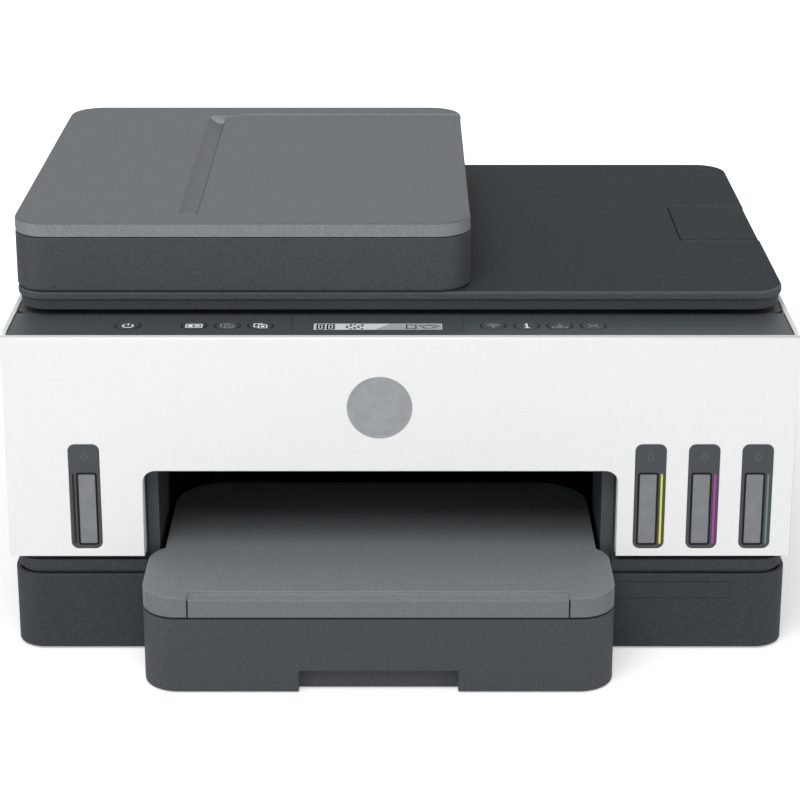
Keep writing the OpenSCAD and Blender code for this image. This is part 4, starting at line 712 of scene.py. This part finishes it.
BUTTON_SIGNS = {
    "power": ("print_white", draw_power),
    "card": ("print_white", draw_card),
    "copy": ("print_dim", lambda bm, place: draw_sheets(bm, place, False)),
    "color": ("print_white", lambda bm, place: draw_sheets(bm, place, True)),
    "wireless": ("print_dim", draw_wireless),
    "info": ("print_white", draw_info),
    "resume": ("print_dim", draw_resume),
    "cancel": ("print_dim", draw_cancel),
}


def button_signs():
    """Each button's sign, printed on its cap a little larger than it is drawn above."""
    enlarged = 1.2
    for key, (finish, draw) in BUTTON_SIGNS.items():
        node = "button_" + key
        low, high = box_mm(node)
        place = on_top((low.x + high.x) / 2, (low.y + high.y) / 2, high.z, enlarged)
        sign(key + "_sign", node, finish, lambda bm: draw(bm, place))


def display_pictures():
    """The lit display in its recess, with level bars and pictograms."""
    corner = Vector((-47.3, -116.0, 186.21))
    wide, tall = 70.4, 10.9
    node, slot = "display_module", "clear_glass"
    # the films lie one over the other, each this far above the recess
    screen, over, over_tone, bright = (
        on_top(corner.x, corner.y, corner.z + above) for above in (0, 0.16, 0.19, 0.25))
    tone = [(33.5, 0.6), (wide - 0.4, 0.6), (wide - 0.4, tall - 0.4), (41.5, tall - 0.4)]
    sign("display_screen", node, "lcd_lit",
         lambda bm: film(bm, box_outline(0, 0, wide, tall), screen, 0, 0.15))
    sign("display_half_tone", node, "lcd_shade", lambda bm: film(bm, tone, over, 0, 0.02))

    def dark(bm):
        for u in (1.4, 7.0):
            film(bm, box_outline(u, 1.0, u + 4.6, tall - 1.0), over_tone)
        for u in range(5):
            for v in range(4):
                if (u + 2 * v) % 3:
                    left, low = 2.1 * u, 2.3 * v
                    film(bm, box_outline(17.5 + left, 1.2 + low, 18.9 + left, 2.7 + low), over_tone)
        line(bm, box_outline(51.0, 2.2, 56.0, tall - 2.4), 0.7, over_tone, closed=True)
        line(bm, [(58.0, tall - 3.0), (61.0, 3.0), (63.4, 3.0)], 0.8, over_tone)
        line(bm, [(60.0, tall - 3.0), (67.5, tall - 3.0)], 0.8, over_tone)
        line(bm, [(64.5, 2.6), (66.0, 4.6), (68.6, tall - 4.6)], 0.8, over_tone)
    sign("display_dark_segments", node, "lcd_dark", dark)

    def light(bm):
        for u in (1.4, 7.0):
            line(bm, box_outline(u + 1.4, 2.6, u + 3.2, tall - 2.6), 0.7, bright, closed=True)
    sign("display_light_segments", node, "lcd_lit", light)


def window_marks():
    """A coloured stripe beside each level slot, a dark seal round it and a faint ink drop above it."""
    front = box_mm("tank_windows")[0].y + 0.01
    node, tall = "front_door", SLOT_Z[1] - SLOT_Z[0]
    stripe_aside, drop_above = 6.35, 9.8
    stripe = arc(0.55, 180, 360, 6, (0, 0.55)) + arc(0.55, 0, 180, 6, (0, tall - 0.55))
    groove = rounded_outline(SLOT_HALF + 0.2, tall / 2 + 0.2, 1.2)
    drop = arc(1.5, -220, 40, 12) + [(0, 3.3)]
    for x, slot_x, ink in zip(WINDOW_XS, SLOT_XS, INKS):
        beside = on_front(x + math.copysign(stripe_aside, x), front, SLOT_Z[0])
        sign(ink + "_stripe", node, "ink_" + ink,
             lambda bm: film(bm, stripe, beside, 0, 0.08))
        middle = on_front(slot_x, front, (SLOT_Z[0] + SLOT_Z[1]) / 2)
        sign(ink + "_slot_seal", node, "seal_and_joint_shade",
             lambda bm: line(bm, groove, 1.1, middle, closed=True, high=0.04))
        above = on_front(x, front, SLOT_Z[1] + drop_above)
        sign(ink + "_drop_mark", node, "mark_and_highlight_grey",
             lambda bm: line(bm, drop, 0.55, above, closed=True))


def paper_stop_edge_highlights():
    """Painted highlights: fine pale lines along both sides of the paper stop in the lid."""
    low, high = box_mm("lid_flap")
    place = on_top(0, 0, high.z)
    for side, y in (("front", low.y + 0.25), ("back", high.y - 0.25)):
        rim = box_outline(low.x + 0.6, y - 0.2, high.x - 2, y + 0.2)
        sign("paper_stop_rim_" + side, "lid_flap", "mark_and_highlight_grey",
             lambda bm: film(bm, rim, place, -0.3, 0.02))


def turned(bm, rings, place, steps):
    """A turned form: each ring is a radius and a height over the surface; a radius of 0 closes it."""
    loops = []
    for radius, height in rings:
        if radius == 0:
            loops.append([bm.verts.new(place(0, 0, height))])
        else:
            loops.append([bm.verts.new(place(radius * math.cos(2 * math.pi * i / steps),
                                             radius * math.sin(2 * math.pi * i / steps), height))
                          for i in range(steps)])
    for inner, outer in zip(loops, loops[1:]):
        for i in range(steps):
            j = (i + 1) % steps
            corners = [inner[i % len(inner)], inner[j % len(inner)],
                       outer[j % len(outer)], outer[i % len(outer)]]
            bm.faces.new(list(dict.fromkeys(corners)))
    for loop in (loops[0], loops[-1]):
        if len(loop) > 1:
            bm.faces.new(loop)


def blank_badge():
    """A plain round badge with a fine raised rim, in the middle of the front door."""
    middle_x, door_face, middle_z, steps = -11.2, -127.75, 145.6, 96
    # up the side, over the rim and down to the flat field
    rings = ((17.9, 0.0), (17.9, 0.22), (17.6, 0.34), (17.2, 0.34), (16.95, 0.2), (0.0, 0.2))
    bm = bmesh.new()
    turned(bm, rings, on_front(middle_x, door_face, middle_z), steps)
    new_piece("round_badge_blank", mesh_from("round_badge_blank", bm), "front_door", "foil")


def blank_label_plate():
    """A bare plate with a fine dark rim, low on the right of the lower tub."""
    middle_x, middle_z = 148.0, 36.4
    half_wide, half_tall, corner_radius = 37, 5, 0.9
    place = on_front(middle_x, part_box("base_tub")[0].y / MM, middle_z)
    plate = rounded_outline(half_wide, half_tall, corner_radius)
    sign("label_plate_blank", PRINTER, "charcoal_base",
         lambda bm: film(bm, plate, place, 0, 0.1))
    sign("label_plate_rim", PRINTER, "black",
         lambda bm: line(bm, plate, 0.4, place, closed=True, high=0.12))


window_inserts()
button_signs()
display_pictures()
window_marks()
blank_badge()
blank_label_plate()
paper_stop_edge_highlights()


# ---- geometry trees for what repeats ----

def geometry_tree(name, sizes):
    """A geometry tree with these named inputs and a finish; gives it and the sockets of its inputs."""
    tree = bpy.data.node_groups.new(name, "GeometryNodeTree")
    for key, kind in {**sizes, "Finish": "NodeSocketMaterial"}.items():
        tree.interface.new_socket(key, in_out="INPUT", socket_type=kind)
    tree.interface.new_socket("Geometry", in_out="OUTPUT", socket_type="NodeSocketGeometry")
    return tree, add_node(tree, "NodeGroupInput").outputs


def end_tree(tree, given, points, pattern):
    """Puts the pattern at each point, turned, and ends the tree in plain mesh with its finish."""
    placed = add_node(tree, "GeometryNodeInstanceOnPoints", None,
                      {"Points": points, "Instance": pattern, "Rotation": given["Turn"]})
    real = add_node(tree, "GeometryNodeRealizeInstances", None, {"Geometry": placed.outputs["Instances"]})
    painted = add_node(tree, "GeometryNodeSetMaterial", None,
                       {"Geometry": real.outputs["Geometry"], "Material": given["Finish"]})
    add_node(tree, "NodeGroupOutput", None, {"Geometry": painted.outputs["Geometry"]})
    return tree


# the inputs that every row has
ROW = {"Count": "NodeSocketInt", "Start": "NodeSocketVector", "Step": "NodeSocketVector",
       "Turn": "NodeSocketVector"}


def row_points(tree, given):
    """Points from the row's start on, a step apart."""
    return add_node(tree, "GeometryNodeMeshLine", {"mode": "OFFSET"}, {
        "Count": given["Count"], "Start Location": given["Start"], "Offset": given["Step"]}).outputs["Mesh"]


def closed_prism(tree, outline, height):
    """The flat outline raised by a height and closed below."""
    face = add_node(tree, "GeometryNodeFillCurve", {"mode": "NGONS"}, {"Curve": outline}).outputs["Mesh"]
    raised = add_node(tree, "GeometryNodeExtrudeMesh", {"mode": "FACES"},
                      {"Mesh": face, "Offset Scale": height, "Individual": False}).outputs["Mesh"]
    under = add_node(tree, "GeometryNodeFlipFaces", None, {"Mesh": face}).outputs["Mesh"]
    both = add_node(tree, "GeometryNodeJoinGeometry")
    tree.links.new(raised, both.inputs["Geometry"])
    tree.links.new(under, both.inputs["Geometry"])
    return add_node(tree, "GeometryNodeMergeByDistance", None,
                    {"Geometry": both.outputs["Geometry"], "Distance": 0.001 * MM}).outputs["Geometry"]


def bar_row_tree():
    """Rounded bars in a row: ribs, ticks, ridges and belt teeth."""
    tree, given = geometry_tree("rounded_bars_in_a_row", {
        "Wide": "NodeSocketFloat", "Deep": "NodeSocketFloat", "Tall": "NodeSocketFloat",
        "Corner": "NodeSocketFloat", **ROW})
    outline = add_node(tree, "GeometryNodeCurvePrimitiveQuadrilateral", None,
                       {"Width": given["Wide"], "Height": given["Deep"]}).outputs["Curve"]
    rounded = add_node(tree, "GeometryNodeFilletCurve", {"mode": "POLY"}, {
        "Curve": outline, "Radius": given["Corner"], "Count": 2, "Limit Radius": True}).outputs["Curve"]
    return end_tree(tree, given, row_points(tree, given), closed_prism(tree, rounded, given["Tall"]))


def star_wheel_tree():
    """Thin toothed wheels in a row, as they hold down a wet sheet by its points."""
    tree, given = geometry_tree("star_wheels_in_a_row", {
        "Points": "NodeSocketInt", "Root radius": "NodeSocketFloat", "Tip radius": "NodeSocketFloat",
        "Thickness": "NodeSocketFloat", **ROW})
    outline = add_node(tree, "GeometryNodeCurveStar", None, {
        "Points": given["Points"], "Inner Radius": given["Root radius"],
        "Outer Radius": given["Tip radius"]}).outputs["Curve"]
    return end_tree(tree, given, row_points(tree, given), closed_prism(tree, outline, given["Thickness"]))


def rod_row_tree():
    """Round rods in a row, each centred on its point."""
    tree, given = geometry_tree("round_rods_in_a_row", {
        "Sides": "NodeSocketInt", "Radius": "NodeSocketFloat", "Length": "NodeSocketFloat", **ROW})
    rod = add_node(tree, "GeometryNodeMeshCylinder", None, {
        "Vertices": given["Sides"], "Radius": given["Radius"], "Depth": given["Length"]}).outputs["Mesh"]
    return end_tree(tree, given, row_points(tree, given), rod)


def screw_tree():
    """Screw heads at the points of the mesh that it is given."""
    tree, given = geometry_tree("screw_heads_at_places", {
        "Places": "NodeSocketGeometry", "Head": "NodeSocketObject", "Turn": "NodeSocketVector"})
    head = add_node(tree, "GeometryNodeObjectInfo", None, {"Object": given["Head"]}).outputs["Geometry"]
    return end_tree(tree, given, given["Places"], head)


def grown(name, tree, sizes, node, finish, places=()):
    """A piece that a geometry tree grows from these sizes, kept as a plain mesh."""
    seed_mesh = bpy.data.meshes.new(name + "_places")
    seed_mesh.from_pydata([Vector(place) * MM for place in places], [], [])
    seed = bpy.data.objects.new(name + "_seed", seed_mesh)
    bpy.context.scene.collection.objects.link(seed)
    grower = seed.modifiers.new("grown", "NODES")
    grower.node_group = tree
    socket = {item.name: item.identifier for item in tree.interface.items_tree if item.in_out == "INPUT"}
    for key, value in {**sizes, "Finish": FINISH[finish]}.items():
        grower[socket[key]] = value
    mesh = bpy.data.meshes.new_from_object(seed.evaluated_get(bpy.context.evaluated_depsgraph_get()))
    bpy.data.objects.remove(seed)
    mesh.name = name
    new_piece(name, mesh, node, finish)


BAR_ROW = bar_row_tree()
STAR_ROW = star_wheel_tree()
ROD_ROW = rod_row_tree()
SCREWS = screw_tree()
# how a row's pieces are turned: as they are, over onto their heads, or lying along X
UNTURNED = (0.0, 0.0, 0.0)
UPSIDE_DOWN = (math.pi, 0.0, 0.0)
ALONG_X = (0.0, QUARTER, 0.0)


def mm(*sizes):
    """Sizes in mm as metres."""
    return [float(size) * MM for size in sizes]


def bar_row(name, node, finish, size, count, start, step, corner=0.2, turn=UNTURNED):
    """Bars of one size, from start on by step; each stands on its place."""
    wide, deep, tall = mm(*size)
    grown(name, BAR_ROW, {
        "Wide": wide, "Deep": deep, "Tall": tall, "Corner": corner * MM, "Count": count,
        "Start": mm(*start), "Step": mm(*step), "Turn": turn}, node, finish)


def rod_row(name, node, finish, radius, length, count, start, step, turn=UNTURNED, sides=16):
    """Round rods of one size, from start on by step; each is centred on its place."""
    grown(name, ROD_ROW, {
        "Sides": sides, "Radius": radius * MM, "Length": length * MM, "Count": count,
        "Start": mm(*start), "Step": mm(*step), "Turn": turn}, node, finish)


# ---- screws ----

def screw_head():
    """A pan head 6 mm across and 0.8 mm high, with a cross recess, looking up from the origin."""
    top, recess_floor, recess_taper = 0.8, 0.25, 0.8
    rings = ((3.0, 0.0), (3.0, 0.3), (2.6, 0.65), (1.9, top))
    steps = 20
    bm = bmesh.new()
    loops = [[bm.verts.new(Vector((radius * math.cos(2 * math.pi * i / steps),
                                   radius * math.sin(2 * math.pi * i / steps), height)) * MM)
              for i in range(steps)] for radius, height in rings]
    bm.faces.new(loops[0])
    for under, over in zip(loops, loops[1:]):
        for i in range(steps):
            j = (i + 1) % steps
            bm.faces.new((under[i], under[j], over[j], over[i]))
    reach, half = 1.5, 0.35
    cross = [(reach, -half), (reach, half), (half, half), (half, reach), (-half, reach), (-half, half),
             (-reach, half), (-reach, -half), (-half, -half), (-half, -reach), (half, -reach), (half, -half)]
    mouth = [bm.verts.new(Vector((u, v, top)) * MM) for u, v in cross]
    floor = [bm.verts.new(Vector((u * recess_taper, v * recess_taper, recess_floor)) * MM) for u, v in cross]
    bm.faces.new(floor)
    rims = [bm.edges.get((loops[-1][i], loops[-1][(i + 1) % steps])) for i in range(steps)]
    for i in range(len(cross)):
        j = (i + 1) % len(cross)
        bm.faces.new((mouth[i], mouth[j], floor[j], floor[i]))
        rims.append(bm.edges.get((mouth[i], mouth[j])))
    bmesh.ops.triangle_fill(bm, use_beauty=True, edges=rims)
    return mesh_from("screw_head", bm)


def screws(name, node, places, turn):
    """Screws of zinc-plated steel at these places, all turned one way."""
    head = bpy.data.objects.new("screw_head", screw_head())
    grown(name, SCREWS, {"Head": head, "Turn": turn}, node, "zinc", places)
    bpy.data.objects.remove(head)


def back_cover():
    """The back cover with round wells, and a screw at the bottom of each on a boss behind the wall."""
    made = new_piece("back_cover", merged_copy("rear_cover"), PRINTER, "charcoal")
    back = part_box("rear_cover")[1].y / MM
    low_z, high_z, boss_top = 66.0, 176.0, -2.6
    places = [(x, z) for x in (-188.0, 188.0) for z in (low_z, high_z)] + [(-60.0, high_z), (60.0, high_z)]
    wells, bosses = bmesh.new(), bmesh.new()
    for x, z in places:
        def into_wall(u, v, w):
            return Vector((x - u, back + w, z + v)) * MM
        turned(wells, ((4.2, -4.0), (4.2, 2.0)), into_wall, 24)
        turned(bosses, ((5.4, -4.2), (5.4, boss_top)), into_wall, 24)
    cutter = bpy.data.objects.new("wells", mesh_from("wells", wells))
    bpy.context.scene.collection.objects.link(cutter)
    cut = made.modifiers.new("wells", "BOOLEAN")
    cut.object = cutter
    cut.solver = "EXACT"
    bored = bpy.data.meshes.new_from_object(made.evaluated_get(bpy.context.evaluated_depsgraph_get()))
    made.modifiers.clear()
    made.data = bored
    bpy.data.objects.remove(cutter)
    bored.set_sharp_from_angle(angle=math.radians(SHARP_DEG))
    round_edges(made, 0.4, lambda place: place.y > back - 0.05)
    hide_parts("rear_cover")
    new_piece("back_cover_bosses", mesh_from("back_cover_bosses", bosses), PRINTER, "inside")
    screws("back_cover_screws", PRINTER, [(x, back + boss_top, z) for x, z in places],
           (-QUARTER, 0.0, 0.0))


def underside_screws():
    """Screws that hold the lower tub, looking down from its floor."""
    floor_z = 1.0
    places = [(x, y, floor_z) for x in (-187.0, 187.0) for y in (-70.0, 20.0, 120.0)]
    places += [(x, y, floor_z) for x in (-70.0, 70.0) for y in (-112.0, 166.0)]
    screws("underside_screws", PRINTER, places, UPSIDE_DOWN)


back_cover()
underside_screws()


# ---- paper bay and cassette ----

def soft_box(name, low, high, node, finish, ease_mm=0.4):
    """A block between two corners, with its edges rounded."""
    to_middle = Matrix.Translation((Vector(low) + Vector(high)) / 2 * MM)
    to_size = Matrix.Diagonal([(b - a) * MM for a, b in zip(low, high)] + [1])
    bm = bmesh.new()
    bmesh.ops.create_cube(bm, size=1, matrix=to_middle @ to_size)
    made = new_piece(name, mesh_from(name, bm), node, finish)
    made.data.shade_smooth()
    made.data.set_sharp_from_angle(angle=math.radians(SHARP_DEG))
    round_edges(made, ease_mm)


def bay_side_trims():
    """Upright trims on both sides of the bay, that the tray's wings stop short of."""
    foot_z, top_z, back_y = 45.2, 107.95, -54.0
    for side, x0, x1 in (("left", -142.2, -135.6), ("right", 113.2, 120.45)):
        name = "bay_trim_" + side
        soft_box(name, (x0, TRIM_FRONT, foot_z), (x1, back_y, top_z), PRINTER, "trim", 0.5)
        # painted shade: the trims' sides are darker than their pale fronts
        second_finish(name, "charcoal_base", lambda place, way: abs(way.x) > 0.5)


def tray_seam():
    """Painted shade: a dark film in the joint round the foot of the output tray and beside the extender's
    front.
    """
    tray_low, tray_high = box_mm("output_tray")
    extender_low, extender_high = box_mm("output_extender")
    corner_radius, back_y = 20.0, -127.5

    def outline(inset):
        x0, x1, y0 = tray_low.x + inset, tray_high.x - inset, tray_low.y + inset
        bend = corner_radius - inset
        return ([(x0, back_y)] + arc(bend, 180, 270, 12, (x0 + bend, y0 + bend))
                + arc(bend, 270, 360, 12, (x1 - bend, y0 + bend)) + [(x1, back_y)])
    bm = bmesh.new()
    place = on_top(0, 0, tray_low.z)
    film(bm, outline(0.02) + outline(1.6)[::-1], place, -0.75, 0.45)
    for x in (extender_low.x - 0.15, extender_high.x + 0.15):
        gap = box_outline(x - 0.45, extender_low.y + 0.02, x + 0.45, extender_low.y + 1.4)
        film(bm, gap, place, 0.2, extender_high.z - tray_low.z - 0.1)
    new_piece("tray_shadow_joint", mesh_from("tray_shadow_joint", bm), "output_tray", "seal_and_joint_shade")


def cassette_details():
    """Paper-size marks and ribs on the cassette's floor, and grips on its guides."""
    floor_z = 6.0
    bar_row("cassette_width_marks", "cassette", "print_dim", (0.4, 4.0, 0.05), 21,
            (-111.7, -98.0, floor_z), (10, 0, 0), 0.1)
    bar_row("cassette_length_marks", "cassette", "print_dim", (4.0, 0.4, 0.05), 22,
            (-50.0, -160.0, floor_z), (0, 10, 0), 0.1)
    bar_row("cassette_rear_ribs", "cassette", "charcoal", (1.4, 46.0, 1.2), 10,
            (-119.7, 104.0, floor_z), (24, 0, 0), 0.6)
    for side in ("left", "right"):
        node = "width_guide_" + side
        low, high = box_mm(node)
        bar_row(node + "_grip", node, "black", (4.6, 1.1, 0.7), 9,
                ((low.x + high.x) / 2, low.y + 57.0, 9.3), (0, 4, 0), 0.5)
    low, high = box_mm("length_guide")
    bar_row("length_guide_grip", "length_guide", "black", (16.0, 1.1, 0.7), 4,
            ((low.x + high.x) / 2, high.y - 14.0, 7.9), (0, 3, 0), 0.5)


bay_side_trims()
tray_seam()
cassette_details()


# ---- paper way ----

def star_wheels():
    """Star wheels over the eject roller, on one spring shaft between two posts."""
    low, high = box_mm("eject_roller")
    axis_y, axis_z, first_x = (low.y + high.y) / 2, 91.6, -115.7
    count, apart = 9, (26, 0, 0)
    for name, aside in (("star_wheels_inner", -2.4), ("star_wheels_outer", 2.0)):
        grown(name, STAR_ROW, {
            "Points": 14, "Root radius": 2.8 * MM, "Tip radius": 3.4 * MM, "Thickness": 0.35 * MM,
            "Count": count, "Start": mm(first_x + aside, axis_y, axis_z), "Step": mm(*apart),
            "Turn": ALONG_X}, PRINTER, "zinc")
    rod_row("star_wheel_hubs", PRINTER, "black", 1.5, 7.0, count,
            (first_x, axis_y, axis_z), apart, ALONG_X)
    rod_row("star_wheel_shaft", PRINTER, "steel", 0.6, 264.0, 1,
            (-10.9, axis_y, axis_z), (0, 0, 0), ALONG_X)
    half_wide, half_deep, foot_z, top_z = 1.1, 2.4, 87.4, 93.6
    for side, x in (("left", -143.45), ("right", 121.75)):
        soft_box("star_wheel_post_" + side, (x - half_wide, axis_y - half_deep, foot_z),
                 (x + half_wide, axis_y + half_deep, top_z), PRINTER, "black", 0.4)


def belt_teeth():
    """Teeth inside both runs of the carriage belt."""
    pitch, count = 2.032, 176
    first_x, belt_y = -178.0, 67.7
    for run, z, turn in (("lower", 136.6, UNTURNED), ("upper", 145.4, UPSIDE_DOWN)):
        bar_row("belt_teeth_" + run, "carriage_belt", "elastomer", (1.0, 4.8, 0.25), count,
                (first_x, belt_y, z), (pitch, 0, 0), 0.25, turn)


star_wheels()
belt_teeth()


# ---- inside of the ink door, tanks and caps ----

def door_ribs():
    """A grid of stiffening ribs on the inside of the ink door."""
    inner_face = -125.2
    bar_row("door_upright_ribs", "front_door", "white", (1.2, 4.4, 56.0), 15,
            (-199.5, inner_face + 2.2, 126.0), (28.5, 0, 0), 0.3)
    bar_row("door_level_ribs", "front_door", "white", (428.0, 4.0, 1.2), 2,
            (0, inner_face + 2.0, 141.0), (0, 0, 21), 0.3)


def tank_marks():
    """Level lines on the tanks, and a spot of each ink's colour on its cap."""
    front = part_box("black_tank")[0].y / MM
    cap_top = 130.7
    for x, ink in zip(WINDOW_XS, INKS):
        tank = "black_tank" if ink == "black" else "color_tanks"
        bar_row(ink + "_level_lines", tank, "print_dim", (6.0, 0.05, 0.5), 5,
                (x, front - 0.02, 68.0), (0, 0, 9), 0.1)
        cap = "cap_" + ink
        low, high = box_mm(cap)
        place = on_top((low.x + high.x) / 2, low.y + 9.0, cap_top)
        sign(ink + "_cap_spot", cap, "print_dim" if ink == "black" else "ink_" + ink,
             lambda bm: film(bm, arc(3.2, 0, 345, 23), place, -0.05, 0.12))


door_ribs()
tank_marks()


# ---- scanner ----

def scanner_details():
    """Size marks beside the glass, the white reference strip under it, and the bar's lamp and lenses."""
    low, high = box_mm("scanner_glass")
    glass_left, top, middle_y = -168.9, high.z, (low.y + high.y) / 2
    bar_row("scan_marks_across", PRINTER, "print_white", (0.5, 3.0, 0.05), 30,
            (glass_left + 4, low.y - 2.4, top), (10, 0, 0), 0.1)
    bar_row("scan_marks_along", PRINTER, "print_white", (2.2, 0.5, 0.05), 22,
            (glass_left - 2.2, high.y - 4, top), (0, -10, 0), 0.1)
    corner = on_top(glass_left - 3.0, high.y + 3.0, top)
    arrow = [(-4.4, 4.4), (-4.4, 0.6), (-3.1, 1.9), (-0.9, -0.3), (0.3, 0.9), (-1.9, 3.1), (-0.6, 4.4)]
    sign("scan_corner_arrow", PRINTER, "print_white", lambda bm: film(bm, arrow, corner))
    bar_row("white_reference_strip", PRINTER, "pad", (4.6, high.y - low.y - 8, 0.3), 1,
            (-190.0, middle_y, low.z - 0.35), (0, 0, 0), 0.3)
    bar_low, bar_high = box_mm("scan_carriage")
    middle_x = (bar_low.x + bar_high.x) / 2
    rod_row("scan_lens_rods", "scan_carriage", "pad", 0.7, 0.8, 150,
            (middle_x, -68.0, bar_high.z - 0.9), (0, 1.48, 0), sides=10)
    bar_row("scan_lamp_guide", "scan_carriage", "pad", (2.6, 222.0, 0.5), 1,
            (middle_x - 5.0, middle_y, bar_high.z - 0.1), (0, 0, 0), 0.5)


def feeder_details():
    """Ribs that guide the sheet under the feeder's cover, and size marks beside its way."""
    roller_low, roller_high = box_mm("adf_roller")
    middle, bed_z = (roller_low.y + roller_high.y) / 2, 217.0
    bar_row("feeder_bed_ribs", "adf_base", "charcoal", (84.0, 1.2, 0.35), 15,
            (-66.0, middle - 105.0, bed_z), (0, 15, 0), 0.5)
    bar_row("feeder_room_ribs", "adf_base", "charcoal", (26.0, 1.4, 5.0), 11,
            (-180.0, middle - 100.0, 205.6), (0, 20, 0), 0.5)
    bar_row("feeder_size_marks", "adf_base", "print_white", (3.0, 0.5, 0.05), 9,
            (24.0, middle - 100.0, bed_z), (0, 25, 0), 0.1)


scanner_details()
feeder_details()


# ---- painted shade round the buttons, and bare plates ----

def button_gap_shades():
    """Painted shade: the dark joint that shows on the left and right of each round button."""
    gap, half_wide = 0.15, 0.32
    for key in BUTTON_SIGNS:
        node = "button_" + key
        low, high = box_mm(node)
        place = on_top((low.x + high.x) / 2, (low.y + high.y) / 2, high.z)
        radius = (high.x - low.x) / 2 + gap

        def crescents(bm):
            for turn in (0, 180):
                outer = arc(radius + half_wide, turn - 42, turn + 42, 12)
                inner = arc(radius - half_wide, turn + 36, turn - 36, 12)
                film(bm, outer + inner, place, -0.1, 0.02)
        sign(key + "_seal", PRINTER, "seal_and_joint_shade", crescents)


def rating_plate():
    """A bare plate under the machine, where makers put their ratings."""
    half_wide, half_deep, corner_radius = 40, 18, 2.0
    middle_y, floor_z = 60, 1.0
    plate = rounded_outline(half_wide, half_deep, corner_radius)
    place = on_top(0, middle_y, floor_z)
    sign("rating_plate_blank", PRINTER, "foil",
         lambda bm: film(bm, plate, place, -0.12, 0.05))


button_gap_shades()
rating_plate()


# ---- floor, lamps and camera, all in metres ----

def floor_material():
    """Matt pale paint that keeps the object's shadow, a little brighter to the camera."""
    made, tree, output = blank_material("Floor_pale_paint")
    path = add_node(tree, "ShaderNodeLightPath")
    shader = shade(tree, output, {
        "Base Color": linear("#f4f4f4"), "Roughness": 0.9, "Specular IOR Level": 0.1,
        "Emission Color": linear("#ffffff")})
    # to the camera it glows more the further it lies from the printer
    place = add_node(tree, "ShaderNodeTexCoord").outputs["Object"]
    away = add_node(tree, "ShaderNodeVectorMath", {"operation": "LENGTH"}, {0: place}).outputs["Value"]
    fade = add_node(tree, "ShaderNodeMapRange", {"interpolation_type": "SMOOTHSTEP"}, {
        "Value": away, "From Min": 0.25, "From Max": 0.9, "To Min": 0.4, "To Max": 1.1}).outputs["Result"]
    seen = add_node(tree, "ShaderNodeMath", {"operation": "MULTIPLY"},
                    {0: path.outputs["Is Camera Ray"], 1: fade})
    tree.links.new(seen.outputs["Value"], shader.inputs["Emission Strength"])
    return made


def make_floor():
    """A wide floor a hair under the feet, so that the two never share a plane."""
    half_wide, below = 30, 0.0002
    bm = bmesh.new()
    bmesh.ops.create_grid(bm, x_segments=1, y_segments=1, size=half_wide)
    floor = bpy.data.objects.new("floor", mesh_from("floor", bm))
    bpy.context.scene.collection.objects.link(floor)
    floor.location.z = -below
    floor.data.materials.append(floor_material())


# how brightly the surroundings light matt surfaces
WORLD_LEVEL = 0.25


def make_world():
    """White where the camera, gloss and glass look; a soft even level on matt surfaces."""
    world = bpy.data.worlds.new("studio")
    bpy.context.scene.world = world
    world.use_nodes = True
    tree = world.node_tree
    tree.nodes.clear()
    path = add_node(tree, "ShaderNodeLightPath")
    seen = add_node(tree, "ShaderNodeMath", {"operation": "MAXIMUM"},
                    {0: path.outputs["Is Camera Ray"], 1: path.outputs["Is Glossy Ray"]})
    seen = add_node(tree, "ShaderNodeMath", {"operation": "MAXIMUM"},
                    {0: seen.outputs["Value"], 1: path.outputs["Is Transmission Ray"]})
    level = between(tree, seen.outputs["Value"], WORLD_LEVEL, 1.0)
    glow = add_node(tree, "ShaderNodeBackground", None, {"Color": (1, 1, 1, 1), "Strength": level})
    output = add_node(tree, "ShaderNodeOutputWorld")
    tree.links.new(glow.outputs["Background"], output.inputs["Surface"])


def soft_lamp(name, place, aim, wide, tall, watts):
    """An area lamp that points at a place."""
    data = bpy.data.lights.new(name, "AREA")
    data.shape = "RECTANGLE"
    data.size = wide
    data.size_y = tall
    data.energy = watts
    lamp = bpy.data.objects.new(name, data)
    bpy.context.scene.collection.objects.link(lamp)
    lamp.location = place
    lamp.rotation_euler = (Vector(aim) - Vector(place)).to_track_quat("-Z", "Y").to_euler()


def make_camera():
    """Eye level a little above the printer, looking down at it from the front."""
    place, look_down_deg = (0, -1.31775, 0.600), 17.76
    data = bpy.data.cameras.new("camera")
    data.sensor_width = 36
    data.lens = 104.67
    data.shift_y = -0.15
    data.clip_end = 100
    camera = bpy.data.objects.new("camera", data)
    bpy.context.scene.collection.objects.link(camera)
    camera.location = place
    camera.rotation_euler = (math.radians(90 - look_down_deg), 0, 0)
    bpy.context.scene.camera = camera


make_floor()
make_world()
soft_lamp("lamp_front", (-0.3, -1.28, 1.83), (0, 0, 0.12), 1.4, 1.4, 30)
soft_lamp("strip_left", (-2.0, -1.35, 0.2), (0, -0.12, 0.09), 0.9, 0.3, 9)
soft_lamp("strip_right", (2.0, -1.35, 0.2), (0, -0.12, 0.09), 0.9, 0.3, 9)
make_camera()
bpy.context.scene.view_settings.view_transform = "Standard"
